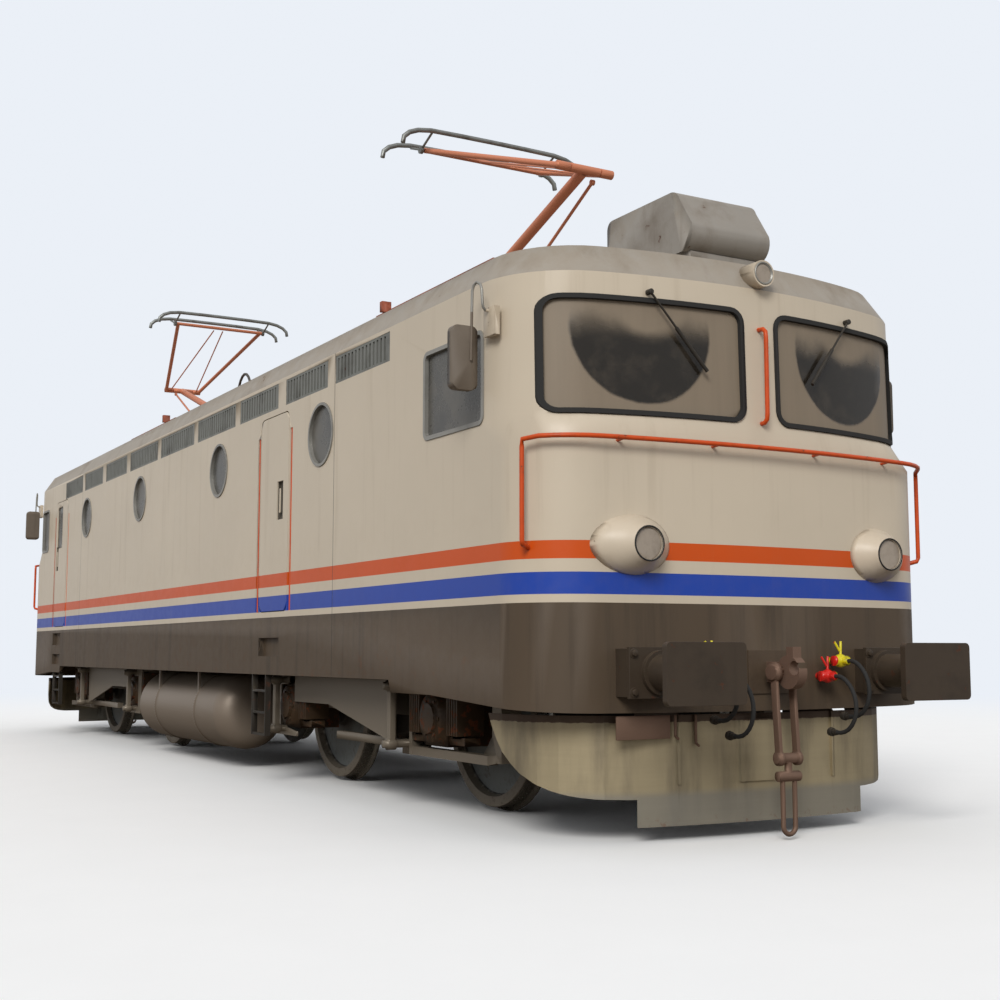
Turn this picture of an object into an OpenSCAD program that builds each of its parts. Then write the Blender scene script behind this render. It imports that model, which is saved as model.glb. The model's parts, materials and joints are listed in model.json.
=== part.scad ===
// Four-axle electric locomotive with two cabs, on two bogies.
// X runs along the track towards the first cab, Y to the left, Z up; z = 0 is where the wheel flanges end.
// The rear half is the front half turned half round, so each piece is drawn for the front and repeated.

/* [Overall] */
// Length over the buffer heads
buffer_length = 15470; // [15000:10:16200]
// Width over the side walls
body_w = 3150; // [2950:10:3300]
// Height of the eaves, where the cream wall ends and the roof begins
eaves_z = 3370; // [3330:5:3600]
// Distance between the bogie centres
bogie_pitch = 7700; // [7400:10:8000]
// Distance between the axles of one bogie
wheelbase = 2700; // [2500:10:2800]

/* [Wheels] */
// Tread diameter of a wheel
wheel_d = 1250; // [1100:5:1260]
// Height of the flange beyond the tread
flange_h = 28; // [24:1:32]
// Width of a wheel rim
rim_w = 135; // [125:1:145]
// Distance between the inner faces of the two wheels
back_to_back = 1360; // [1340:1:1370]
// Axle diameter
axle_d = 200; // [160:1:220]

/* [Body shell] */
// Thickness of the side and cab walls
wall_t = 60; // [40:1:80]
// Top of the frame band, where the body walls stand
deck_z = 1388; // [1380:1:1420]
// Bottom of the frame band between the bogies
sill_z = 916; // [880:1:950]
// How far the buffer heads stand beyond the nose
buffer_reach = 520; // [480:5:560]
// Length of a cab module, from the machine room to the nose
cab_l = 3090; // [3000:5:3200]
// Height of the roof rim above the eaves
cove_h = 190; // [150:5:200]
// How far the roof rim stands inside the wall
cove_in = 115; // [80:5:150]

/* [Windows] */
// Lowest edge of a windscreen seal
screen_z0 = 2505; // [2480:5:2540]
// Highest edge of a windscreen seal
screen_z1 = 3230; // [3150:5:3240]
// Half gap between the two windscreen seals
screen_y0 = 120; // [110:5:260]
// Outer edge of a windscreen seal from the middle
screen_y1 = 1435; // [1340:5:1440]
// Width of the rubber seal
seal_w = 30; // [26:1:55]
// Radius of a round machine-room window with its rim
porthole_r = 250; // [200:5:260]
// Height of the round windows' centres
porthole_z = 2780; // [2700:5:2820]

/* [Buffers] */
// Height of the buffer centres
buffer_z = 987; // [960:1:1060]
// Distance between the buffer centres
buffer_pitch = 1756; // [1740:1:1760]
// Width of a buffer head
buffer_w = 548; // [450:1:600]
// Height of a buffer head
buffer_h = 346; // [300:1:360]

/* [Pantographs] */
// Place of the lower arm's pivot along the locomotive
mast_x = 3180; // [3100:5:3260]
// Height of the lower arm's pivot above the roof
mast_h = 480; // [460:5:520]
// How far the knee stands out from the lower arm's pivot
knee_dx = 2020; // [1950:5:2060]
// Height of the knee above the lower arm's pivot
knee_dz = 687; // [640:1:760]
// How far the head's cross tube stands out from the lower arm's pivot
head_dx = 408; // [340:2:460]
// Height of the head's cross tube above the lower arm's pivot
head_dz = 1260; // [1200:5:1320]
// Half width of the head over its horns
horn_y = 860; // [800:5:975]

/* [Hidden] */
half_w = body_w / 2;
wheel_r = wheel_d / 2;
flange_r = wheel_r + flange_h;
axle_z = flange_r;
bogie_x = bogie_pitch / 2;
half_base = wheelbase / 2;
buffer_x = buffer_length / 2;
nose_x = buffer_x - buffer_reach;
split_x = nose_x - cab_l;
fit_gap = 1;
door_gap = 8;
door_t = 44;
axle_places = [bogie_x - half_base, bogie_x + half_base];
frame_paint = [0.30, 0.27, 0.23];
cream_paint = [0.83, 0.79, 0.72];
arm_paint = [0.76, 0.33, 0.20];
rail_paint = [0.80, 0.33, 0.16];
strip_metal = [0.55, 0.57, 0.57];

// Nose outlines: [height, foremost x, radius of the bow, radius of the corners, half width]
low_nose = [nose_x, 8000, 470, half_w];
belt_z = 2320;
brow_z = 2500;
brow_nose = [nose_x - 25, 4500, 600, half_w];
eaves_nose = [nose_x - 45, 4500, 600, half_w];
rim_nose = [nose_x - 45 - cove_in, 4400, 560, half_w - cove_in];
crown_nose = [nose_x - 420, 4200, 400, half_w - 375];
top_nose = [nose_x - 1000, 4000, 300, half_w - 975];
rim_z = eaves_z + cove_h;
crown_z = rim_z + 15;
top_z = rim_z + 30;

// Side openings of a cab: [first x, last x, bottom, top]
wide_window = [nose_x - 1565, nose_x - 740, 2485, 3080];
narrow_window = [nose_x - 1130, nose_x - 715, 2485, 3080];
cab_door = [nose_x - 2245, nose_x - 1615, deck_z + 52, 3115];
cab_door_window = [cab_door[0] + 275, cab_door[1] - 55, 2490, 3050];
room_door = [2520, 3170, deck_z + 52, 3070];
bulkhead_x = cab_door[0] - 170;
// Handrails beside a door: [place of the first, place of the second]
cab_rails = [cab_door[0] - 72, cab_door[1] + 75];
room_rails = [room_door[0] - 50, room_door[1] + 54];
rail_z = [deck_z + 48, 2925];
groove_w = 56;
groove_d = 42;
// Louvre grilles of one side: [first x, last x], the outer two on the cab modules
grilles = [[-split_x - 980, -split_x - 10], [-4000, -3085], [-2925, -1970], [-1830, -705], [-590, 575],
           [690, 1815], [1942, 2910], [3082, 3984], [split_x + 10, split_x + 983]];
grille_z = [eaves_z - 240, eaves_z - 28];
grille_in = 25;
slat_pitch = 64;
slat_w = 30;
portholes_x = [-3857, -1370, 1370, 3857];

// Pivots of a pantograph
mast_z = top_z + mast_h;
knee_x = mast_x + knee_dx;
knee_z = mast_z + knee_dz;
head_x = mast_x + head_dx;
head_z = mast_z + head_dz;
knee_y = 230;
tube_y = 575;
strip_dx = 200;
strip_z = head_z + 100;
// Foot of the thrust rod, and its eye measured from the knee
rod_foot = [mast_x + 640, mast_z - 60];
rod_eye = [knee_x - 60, knee_z - 62];
rod_y = 110;

// Air tank of the right side, whose far end stays clear of the wheels: [middle x, y, z, radius, length]
tank_gap = 27;
tank_r = 355;
tank_l = 2900;
tank = [tank_gap + flange_r - axle_places[0] + tank_l / 2, -half_w + 495, sill_z - 26 - tank_r, tank_r, tank_l];

// Route of one hanging hose from its cock: [forward, up]
hose_route = [[0, 0], [30, 0], [60, -8], [90, -25], [118, -50], [142, -80], [160, -115], [170, -152], [172, -190],
              [166, -227], [152, -262], [130, -293], [102, -317], [70, -333], [36, -340], [0, -340]];
hose_d = 26;
cock_x = nose_x + 145;
// Cocks and hoses of one end: [y, height of the outlet]
cocks = [[-505, 1050], [-395, 957], [395, 957], [505, 1050]];

// ---------- helpers ----------
function unit(v) = v / norm(v);
function arc(cx, cy, r, a0, a1, n) =
    [for (i = [0:n]) let (a = a0 + (a1 - a0) * i / n) [cx + r * cos(a), cy + r * sin(a)]];

// Plan of a nose from the right wall round to the left wall, drawn inset by t
function nose(n, t = 0) =
    let (bow = n[1], r = n[2], yc = n[3] - r, xc = n[0] - bow,
         xr = xc + sqrt(pow(bow - r, 2) - yc * yc), th = atan2(yc, xr - xc))
    concat(arc(xr, -yc, r - t, -90, -th, 8),
           [for (p = arc(xc, 0, bow - t, -th, th, 16)) if (abs(p[1]) < (bow - t) * sin(th) - 1) p],
           arc(xr, yc, r - t, th, 90, 8));

function at_z(outline, z) = [for (p = outline) [p[0], p[1], z]];
// Outline of one cab module at a level, from the split to the nose
function cab_outline(n, t = 0, back = 0) = concat([[back, -n[3] + t]], nose(n, t), [[back, n[3] - t]]);

// Solid between stacked outlines of equal point counts
module loft(rings) {
    n = len(rings[0]);
    last = len(rings) - 1;
    points = [for (r = rings) for (p = r) p];
    sides = [for (k = [0:last - 1]) for (i = [0:n - 1])
             for (f = [[k * n + i, (k + 1) * n + i, (k + 1) * n + (i + 1) % n],
                       [k * n + i, (k + 1) * n + (i + 1) % n, k * n + (i + 1) % n]]) f];
    polyhedron(points, concat([[for (i = [0:n - 1]) i]], sides, [[for (i = [n - 1:-1:0]) last * n + i]]));
}

// Tube of diameter d along a path of points
function tangents(p) = let (m = len(p) - 1)
    [for (i = [0:m]) unit(p[min(i + 1, m)] - p[max(i - 1, 0)])];
function square_to(t, hint) = unit(hint - (hint * t) * t);
module tube(path, d, sides = 8, hint = [0.13, 0.31, 0.94]) {
    t = tangents(path);
    m = len(path);
    us = [for (i = 0, u = square_to(t[0], hint); i < m; i = i + 1, u = i < m ? square_to(t[i], u) : u) u];
    loft([for (i = [0:m - 1]) [for (k = [0:sides - 1])
          let (a = 360 * k / sides) path[i] + d / 2 * (cos(a) * us[i] + sin(a) * cross(t[i], us[i]))]]);
}

module rod(p, q, d) {
    v = q - p;
    translate(p) rotate([0, acos(v[2] / norm(v)), atan2(v[1], v[0])]) cylinder(h = norm(v), d = d, $fn = 24);
}
module block(x, y, z) { translate([x[0], y[0], z[0]]) cube([x[1] - x[0], y[1] - y[0], z[1] - z[0]]); }
module both_sides() { children(); mirror([0, 1, 0]) children(); }
module both_ends() { children(); rotate([0, 0, 180]) children(); }
// Flat shape drawn in x and z, with thickness along y from y0 to y1
module side_plate(y0, y1) { translate([0, y1, 0]) rotate([90, 0, 0]) linear_extrude(y1 - y0) children(); }
// Flat shape drawn in y and z, with thickness along x from x0 to x1
module end_plate(x0, x1) { translate([x0, 0, 0]) rotate([90, 0, 90]) linear_extrude(x1 - x0) children(); }
module rounded(x0, x1, z0, z1, r) {
    polygon(concat(arc(x1 - r, z1 - r, r, 0, 90, 5), arc(x0 + r, z1 - r, r, 90, 180, 5),
                   arc(x0 + r, z0 + r, r, 180, 270, 5), arc(x1 - r, z0 + r, r, 270, 360, 5)));
}
// Outline of the straight part of the roof, drawn inside by t
function roof_section(t) = [[-half_w + t, eaves_z], [half_w - t, eaves_z],
    [half_w - cove_in - t, rim_z - t], [half_w - 375 - t, crown_z - t], [half_w - 975, top_z - t],
    [-half_w + 975, top_z - t], [-half_w + 375 + t, crown_z - t], [-half_w + cove_in + t, rim_z - t]];
module roof_bar(t, half_l) {
    rotate([90, 0, 90]) translate([0, 0, -half_l]) linear_extrude(2 * half_l) polygon(roof_section(t));
}
module pane(w, r, grow = 0) { rounded(w[0] - grow, w[1] + grow, w[2] - grow, w[3] + grow, r + grow); }
function turned(outline) = [for (p = outline) [-p[0], -p[1]]];

// ---------- body ----------
skirt_step = [nose_x - 2085, nose_x - 2050, nose_x - 1465, nose_x - 515];
skirt_z = [831, 776, 735];
beam_y = [340, 440];
// Pockets in the frame band: [first x, last x, bottom, top]
pockets = [[room_door[0] + 10, room_door[1] - 165, 1068, 1220],
           [-cab_door[1] - 32, -cab_door[0] - 200, 1191, 1350], [-cab_door[1] - 32, -cab_door[0] - 200, 936, 1072]];
deck_t = 55;
sill_t = 70;

module underframe() color(frame_paint) {
    full = concat(nose(low_nose), turned(nose(low_nose)));
    hollow = concat(nose(low_nose, sill_t), turned(nose(low_nose, sill_t)));
    difference() {
        translate([0, 0, skirt_z[2]]) linear_extrude(deck_z - skirt_z[2]) polygon(full);
        translate([0, 0, skirt_z[2] - 1]) linear_extrude(deck_z - deck_t - skirt_z[2] + 1) polygon(hollow);
        side_plate(-half_w - 10, half_w + 10) polygon(skirt_profile());
        both_ends() for (p = pockets) block([p[0], p[1]], [-half_w - 10, -half_w + 45], [p[2], p[3]]);
    }
    both_sides() block([-nose_x + 150, nose_x - 150], beam_y, [deck_z - 268, deck_z - deck_t]);
    both_ends() {
        block([bogie_x - 250, bogie_x + 250], [-half_w + sill_t, half_w - sill_t], [pivot_z[1], deck_z - deck_t]);
        translate([bogie_x, 0, pivot_z[0]]) cylinder(h = pivot_z[1] - pivot_z[0], r = pivot_r, $fn = 48);
        block([nose_x - 600, nose_x - 560], [-half_w + sill_t, half_w - sill_t], [900, deck_z - deck_t]);
    }
}
pivot_r = 120;
pivot_z = [820, 1200];
function skirt_profile() = concat(
    [[-nose_x - 50, 700]], [[-nose_x - 50, skirt_z[2] + 15]],
    [[-skirt_step[3], skirt_z[1]], [-skirt_step[2], skirt_z[0]], [-skirt_step[1], skirt_z[0]],
     [-skirt_step[0], sill_z], [skirt_step[0], sill_z],
     [skirt_step[1], skirt_z[0]], [skirt_step[2], skirt_z[0]], [skirt_step[3], skirt_z[1]]],
    [[nose_x + 50, skirt_z[2] + 15], [nose_x + 50, 700]]);

module transformer_block() color([0.35, 0.36, 0.36])
    block([-1250, 1250], [-850, 850], [deck_z, deck_z + 1312]);

function cab_rings(t, grow = 0) = [
    at_z(cab_outline(low_nose, t, cab_back(t)), deck_z - grow), at_z(cab_outline(low_nose, t, cab_back(t)), belt_z),
    at_z(cab_outline(brow_nose, t, cab_back(t)), brow_z), at_z(cab_outline(eaves_nose, t, cab_back(t)), eaves_z + grow)];
function cab_back(t) = t > 0 ? split_x - 1 : split_x;

module cab_shell() {
    difference() {
        loft(cab_rings(0));
        loft(cab_rings(wall_t, 1));
        both_sides() windscreen_cut(0);
        side_plate(-half_w - 20, -half_w + wall_t + 20) pane(wide_window, 60);
        side_plate(half_w - wall_t - 20, half_w + 20) pane(narrow_window, 60);
        side_plate(half_w - wall_t - 20, half_w + 20) pane(cab_door, 60, door_gap);
        both_sides() side_plate(half_w - grille_in, half_w + 20) grille_hole(grilles[8]);
        for (x = cab_rails) groove(x, 1);
    }
    block([bulkhead_x, bulkhead_x + wall_t], [-half_w + wall_t, half_w - wall_t], [deck_z, eaves_z]);
    rotate([0, 0, 180]) hinge_pins(-cab_door[0], 1);
}
module grille_hole(g) { translate([g[0], grille_z[0]]) square([g[1] - g[0], grille_z[1] - grille_z[0]]); }
module groove(x, side) {
    y = side > 0 ? [half_w - groove_d, half_w + 20] : [-half_w - 20, -half_w + groove_d];
    block([x - groove_w / 2, x + groove_w / 2], y, rail_z);
}
module windscreen_cut(grow)
    end_plate(nose_x - 700, nose_x + 100) pane([screen_y0, screen_y1, screen_z0, screen_z1], 100, grow);

module cab_front() color(cream_paint) cab_shell();
module cab_rear() color(cream_paint) rotate([0, 0, 180]) cab_shell();

module side_wall() difference() {
    block([-split_x, split_x], [-half_w, -half_w + wall_t], [deck_z, eaves_z]);
    side_plate(-half_w - 20, -half_w + wall_t + 20) pane(room_door, 60, door_gap);
    for (x = portholes_x) translate([x, -half_w - 20, porthole_z]) rotate([-90, 0, 0])
        cylinder(h = wall_t + 40, r = porthole_r, $fn = 64);
    side_plate(-half_w - 20, -half_w + grille_in) for (i = [1:7]) grille_hole(grilles[i]);
    for (x = room_rails) groove(x, -1);
}
module side_walls() color(cream_paint) both_ends() {
    side_wall();
    hinge_pins(room_door[0], -1);
}

roof_t = 50;
function roof_rings(t, back) = [
    at_z(cab_outline(eaves_nose, t, back), t > 0 ? eaves_z - 1 : eaves_z), at_z(cab_outline(rim_nose, t, back), rim_z - t),
    at_z(cab_outline(crown_nose, t, back), crown_z - t), at_z(cab_outline(top_nose, t, back), top_z - t)];
module roof() color([0.60, 0.60, 0.58]) {
    difference() {
        roof_bar(0, split_x - fit_gap);
        translate([0, 0, -1]) roof_bar(roof_t, split_x);
    }
    both_ends() difference() {
        loft(roof_rings(0, split_x));
        loft(roof_rings(roof_t, split_x - 1));
    }
}

module cab_furniture() color([0.25, 0.27, 0.28]) both_ends() {
    difference() {
        block([nose_x - 1065, nose_x - 465], [-half_w + 325, half_w - 325], [deck_z, 2330]);
        block([nose_x - 1075, nose_x - 695], [-half_w + 425, half_w - 425], [deck_z - 1, 2180]);
    }
    translate([nose_x - 1515, -750, deck_z]) {
        cylinder(h = 420, d = 120, $fn = 32);
        translate([-250, -240, 420]) cube([480, 480, 110]);
        translate([-300, -240, 420]) cube([110, 480, 720]);
    }
}

// ---------- windows ----------
module windscreen_seals() color([0.03, 0.03, 0.03]) both_ends() intersection() {
    difference() {
        loft(cab_rings(-12));
        loft(cab_rings(wall_t + 6, 1));
    }
    both_sides() difference() {
        windscreen_cut(-fit_gap);
        windscreen_cut(-seal_w);
    }
}
module window_glass() color([0.42, 0.40, 0.37]) {
    both_ends() {
        intersection() {
            difference() {
                loft(cab_rings(16));
                loft(cab_rings(28, 1));
            }
            both_sides() windscreen_cut(-seal_w - fit_gap);
        }
        side_plate(-half_w + 20, -half_w + 30) pane(wide_window, 60, -frame_w - fit_gap);
        side_plate(half_w - 30, half_w - 20) pane(narrow_window, 60, -frame_w - fit_gap);
        for (x = portholes_x) translate([x, -half_w + 20, porthole_z]) rotate([-90, 0, 0])
            cylinder(h = 10, r = porthole_r - rim_t - fit_gap, $fn = 64);
    }
}
frame_w = 28;
rim_t = 22;
module window_frames() color([0.62, 0.66, 0.70]) both_ends() {
    side_plate(-half_w - 8, -half_w + wall_t) ring_pane(wide_window);
    side_plate(half_w - wall_t, half_w + 8) ring_pane(narrow_window);
    for (x = portholes_x) translate([x, -half_w - 10, porthole_z]) rotate([-90, 0, 0]) difference() {
        cylinder(h = wall_t + 10, r = porthole_r - fit_gap, $fn = 64);
        translate([0, 0, -1]) cylinder(h = wall_t + 12, r = porthole_r - rim_t, $fn = 64);
    }
}
module ring_pane(w) difference() {
    pane(w, 60, -fit_gap);
    pane(w, 60, -frame_w);
}

module side_grilles() color([0.45, 0.46, 0.46]) both_ends() {
    for (i = [1:7]) grille(grilles[i]);
    both_sides() grille(grilles[8]);
}
module grille(g) side_plate(-half_w + 3, -half_w + grille_in) difference() {
    translate([g[0] + fit_gap, grille_z[0] + fit_gap])
        square([g[1] - g[0] - 2 * fit_gap, grille_z[1] - grille_z[0] - 2 * fit_gap]);
    for (x = [g[0] + 35:slat_pitch:g[1] - 35 - slat_w])
        translate([x, grille_z[0] + 20]) square([slat_w, grille_z[1] - grille_z[0] - 40]);
}

// ---------- doors ----------
handle_z = [2190, 2510];
knuckle_r = 12;
knuckle_l = 70;
hinge_y = -half_w + door_t;
hinge_z = [deck_z + 300, deck_z + 1400];
// A door's hinge runs up its inner face, knuckle_r inside its edge at x; side is 1 where the leaf lies towards -X
module hinge_knuckles(x, side) for (z = hinge_z) translate([x - side * knuckle_r, hinge_y, z]) for (dz = [0, 2 * knuckle_l + 6])
    translate([0, 0, dz]) cylinder(h = knuckle_l, r = knuckle_r, $fn = 32);
module hinge_pins(x, side) for (z = hinge_z) translate([x - side * knuckle_r, hinge_y, z + knuckle_l + 3]) {
    cylinder(h = knuckle_l, r = knuckle_r - 1, $fn = 32);
    block(side > 0 ? [6, wall_t - 14] : [14 - wall_t, -6], [4, wall_t - door_t + 5], [0, knuckle_l]);
}
module door_leaf(d, handle_x, hinge_side) {
    difference() {
        side_plate(-half_w, -half_w + door_t) pane(d, 78);
        block([handle_x - 70, handle_x + 70], [-half_w - 10, -half_w + 30], handle_z);
        for (z = hinge_z) translate([(hinge_side > 0 ? d[1] : d[0]) - hinge_side * knuckle_r, hinge_y, z + knuckle_l])
            cylinder(h = knuckle_l + 6, r = knuckle_r + 3, $fn = 32);
        children();
    }
    translate([handle_x - 35, -half_w + 6, handle_z[0] + 60]) cube([24, 24, handle_z[1] - handle_z[0] - 120]);
    hinge_knuckles(hinge_side > 0 ? d[1] : d[0], hinge_side);
}
function mirrored_x(w) = [-w[1], -w[0], w[2], w[3]];
module cab_door_leaf() {
    w = mirrored_x(cab_door_window);
    door_leaf(mirrored_x(cab_door), -cab_door[1] + 85, 1)
        side_plate(-half_w - 10, -half_w + door_t + 10) pane(w, 40);
    side_plate(-half_w + 15, -half_w + 25) pane(w, 40);
}
module machine_door_leaf() door_leaf(room_door, room_door[1] - 185, -1);
module cab_door_front() color(cream_paint) rotate([0, 0, 180]) cab_door_leaf();
module cab_door_rear() color(cream_paint) cab_door_leaf();
module machine_door_right() color(cream_paint) machine_door_leaf();
module machine_door_left() color(cream_paint) rotate([0, 0, 180]) machine_door_leaf();

module door_handrails() color([0.78, 0.33, 0.16]) both_ends()
    for (x = [room_rails[0], room_rails[1], -cab_rails[0], -cab_rails[1]])
        translate([x, -half_w + 16, rail_z[0]]) cylinder(h = rail_z[1] - rail_z[0], d = 30, $fn = 24);

// ---------- ends ----------
rail_d = 30;
rail_off = 70;
rail_top = 2345;
rail_drop = 645;
handle_ends = [2510, 3110];
module end_handrails() color(rail_paint) both_ends() difference() {
    end_rails();
    loft(cab_rings(0));
}
module end_rails() {
    bars = at_z([for (p = nose(low_nose, -rail_off)) if (abs(p[1]) < half_w + 10) p], rail_top);
    last = bars[len(bars) - 1];
    drop = [[-4, 6, -14], [-5, 8, -60], [-5, 8, 45 - rail_drop], [-10, 0, 22 - rail_drop], [-50, -72, -rail_drop]];
    left = [for (d = drop) last + d];
    right = [for (i = [len(left) - 1:-1:0]) [left[i][0], -left[i][1], left[i][2]]];
    tube(concat(right, [for (i = [1:len(bars) - 2]) bars[i]], left), rail_d, 8);
    for (y = [-1050, -400, 400, 1050]) {
        x = bow_x(low_nose, y);
        rod([x - 45, y, rail_top - 12], [x + rail_off - 8, y, rail_top - 3], 18);
    }
    h = handle_ends;
    tube([for (p = [[-30, h[1]], [40, h[1] - 5], [62, h[1] - 25], [66, h[1] - 60],
                    [66, h[0] + 60], [62, h[0] + 25], [40, h[0] + 5], [-30, h[0]]])
          [nose_x - 35 + p[0], 0, p[1]]], rail_d, 8);
}
function bow_x(n, y) = let (xc = n[0] - n[1]) xc + sqrt(n[1] * n[1] - y * y);

lamp_y = 944;
lamp_z = 1726;
lamp_x = nose_x + 90;
// Headlamp pod from its lens back: [depth, half height, half width]
pod_rings = [[0, 100, 100], [4, 104, 104], [30, 117, 124], [65, 138, 160], [100, 157, 204], [140, 174, 250],
             [190, 186, 288], [260, 188, 300]];
roof_lamp_z = rim_z - 102;
module headlamps() color([0.80, 0.77, 0.70]) both_ends() {
    difference() {
        both_sides() translate([lamp_x, lamp_y, lamp_z]) rotate([0, -90, 0]) difference() {
            loft([for (r = pod_rings) [for (a = [0:7.5:352.5]) [r[1] * cos(a), r[2] * sin(a), r[0]]]]);
            translate([0, 0, -1]) cylinder(h = 31, r = 94, $fn = 48);
        }
        nose_block(deck_z, belt_z);
    }
    difference() {
        translate([nose_x + 25, 0, roof_lamp_z]) rotate([0, -90, 0]) difference() {
            cylinder(h = 250, r = 84, $fn = 48);
            translate([0, 0, -1]) cylinder(h = 21, r = 64, $fn = 48);
        }
        loft(roof_rings(0, split_x));
    }
}
module lamp_lenses() color([0.75, 0.75, 0.72]) both_ends() {
    both_sides() translate([lamp_x - 26, lamp_y, lamp_z]) rotate([0, 90, 0]) cylinder(h = 14, r = 93, $fn = 48);
    translate([nose_x + 8, 0, roof_lamp_z]) rotate([0, 90, 0]) cylinder(h = 12, r = 63, $fn = 48);
}

module air_conditioner() color([0.55, 0.56, 0.56]) {
    x0 = nose_x - 1245;
    x1 = nose_x - 280;
    z0 = top_z + 70;
    side_plate(-317, 317) polygon(concat(arc(x1 - 120, z0 + 120, 120, -90, 20, 8),
        arc(x1 - 230, z0 + 315, 105, 20, 90, 6), arc(x0 + 60, z0 + 360, 60, 90, 180, 4), [[x0, z0]]));
    difference() {
        block([x0 + 120, x1 - 70], [-280, 280], [top_z - 60, z0]);
        loft(roof_rings(0, split_x));
    }
}

module mirrors() color([0.35, 0.34, 0.32]) both_ends() both_sides() {
    y = -half_w;
    mx = nose_x - 615;
    block([mx - 60, mx + 70], [y - 40, y], [3005, 3180]);
    tube([for (p = [[0, -22, 0], [0, -60, 0], [0, -75, 15], [0, -80, 40], [-10, -80, 130], [-25, -82, 165],
                    [-52, -92, 182], [-76, -100, 165], [-84, -105, 130], [-84, -108, 0], [-84, -112, -300]])
          [mx + p[0], y + p[1], 3160 + p[2]]], 18, 8);
    end_plate(mx - 150, mx - 90) rounded(y - 240, y - 65, 2680, 3075, 40);
}

// Foremost x of the windscreen wall at a width and height
function wall_x(y, z) = let (k = (z - brow_z) / (eaves_z - brow_z))
    bow_x(brow_nose, y) + k * (bow_x(eaves_nose, y) - bow_x(brow_nose, y));
wiper_pivot = [795, screen_z1 + 32];
wiper_tip = [420, 2800];
module wipers() color([0.10, 0.10, 0.09]) both_ends() both_sides() {
    x0 = wall_x(wiper_pivot[0] - 17, wiper_pivot[1]);
    p = [x0 + 30, wiper_pivot[0], wiper_pivot[1]];
    q = [wall_x(wiper_tip[0], wiper_tip[1]) + 30, wiper_tip[0], wiper_tip[1]];
    rod([x0, p[1], p[2]], p + [12, 0, 0], 34);
    rod(p, q, 14);
    rod(q + (p - q) * 0.55, q, 24);
}

// ---------- buffing and draw gear ----------
base_x = nose_x + 50;
base_y = [-150, 200];
module buffers() color([0.27, 0.25, 0.22]) both_ends() both_sides() {
    y = buffer_pitch / 2;
    difference() {
        block([nose_x - 250, base_x], [y + base_y[0], y + base_y[1]], [buffer_z - 138, buffer_z + 138]);
        nose_block(700, deck_z);
    }
    block([base_x, base_x + 28], [y + base_y[0] - 8, y + base_y[1] + 8], [buffer_z - 146, buffer_z + 146]);
    translate([base_x + 28, y, buffer_z]) rotate([0, 90, 0]) {
        cylinder(h = 30, r = 128, $fn = 48);
        cylinder(h = 250, r = 105, $fn = 48);
        cylinder(h = buffer_x - base_x - 70, r = 88, $fn = 48);
    }
    end_plate(buffer_x - 42, buffer_x)
        rounded(y - buffer_w / 2, y + buffer_w / 2, buffer_z - buffer_h / 2, buffer_z + buffer_h / 2, 30);
}
// Solid nose of the frame and lower cab, for cutting what stands on it
module nose_block(z0, z1) translate([0, 0, z0 - 1]) linear_extrude(z1 - z0 + 2) polygon(cab_outline(low_nose, 0, split_x));
hook_z = 985;
module draw_hooks() color([0.30, 0.24, 0.20]) both_ends() {
    difference() {
        block([nose_x - 150, nose_x + 10], [-170, 170], [hook_z - 130, hook_z + 130]);
        nose_block(700, deck_z);
    }
    side_plate(-32, 32) difference() {
        union() {
            translate([nose_x, hook_z - 62]) square([200, 124]);
            translate([nose_x + 200, hook_z]) circle(r = 100, $fn = 48);
            translate([nose_x + 190, hook_z + 20]) square([60, 130]);
        }
        translate([nose_x + 255, hook_z + 25]) circle(r = 42, $fn = 32);
    }
}
pin_x = nose_x + 120;
// Heights of the two cross pins, and of the middle of the loop's bend
coupling_z = [478, 372, 81];
module screw_couplings() color([0.28, 0.22, 0.18]) both_ends() translate([pin_x, 0, 0]) {
    both_sides() {
        translate([0, 32, hook_z]) rotate([-90, 0, 0]) cylinder(h = 63, r = 48, $fn = 32);
        side_plate(56, 80) strap([0, hook_z], [30, coupling_z[0]], 60, 44, 44);
    }
    rod([30, -92, coupling_z[0]], [30, 92, coupling_z[0]], 62);
    rod([30, 0, coupling_z[0] - 10], [30, 0, coupling_z[1] + 10], 46);
    rod([30, -80, coupling_z[1]], [30, 80, coupling_z[1]], 62);
    tube(concat([[30, 46, coupling_z[1] - 8]], [for (a = [0:15:180]) [30, 46 * cos(a), coupling_z[2] - 46 * sin(a)]],
                [[30, -46, coupling_z[1] - 8]]), 30, 8, [1, 0, 0]);
}
// Flat link outline between two eyes
module strap(p, q, rp, rq, w) {
    side = w / 2 * unit([p[1] - q[1], q[0] - p[0]]);
    translate(p) circle(r = rp, $fn = 32);
    translate(q) circle(r = rq, $fn = 32);
    polygon([p + side, q + side, q - side, p - side]);
}
module air_cocks() color([0.80, 0.70, 0.15]) both_ends() difference() {
    for (c = cocks) {
        rod([nose_x - 60, c[0], c[1]], [cock_x, c[0], c[1]], 44);
        rod([cock_x - 70, c[0] - 58, c[1]], [cock_x - 70, c[0] + 58, c[1]], 62);
        translate([cock_x - 70, c[0], c[1]]) sphere(r = 42, $fn = 32);
        rod([cock_x - 70, c[0], c[1]], [cock_x - 80, c[0] + 15, c[1] + 120], 16);
        rod([cock_x - 75, c[0], c[1] + 60], [cock_x - 88, c[0] - 30, c[1] + 118], 14);
    }
    nose_block(700, deck_z);
}
function hose_path(i) = [for (p = hose_route) [cock_x + p[0], cocks[i][0], cocks[i][1] + p[1]]];
module hose(i) color([0.04, 0.04, 0.04]) tube(hose_path(i), hose_d, 8, [0, 1, 0]);
module hose_heads() color([0.20, 0.20, 0.20]) both_ends() for (c = cocks) {
    p = [cock_x, c[0], c[1] + hose_route[len(hose_route) - 1][1]];
    rod(p, p + [-30, 0, 0], 40);
    rod(p + [-30, 0, 0], p + [-62, 0, 6], 54);
}

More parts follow.
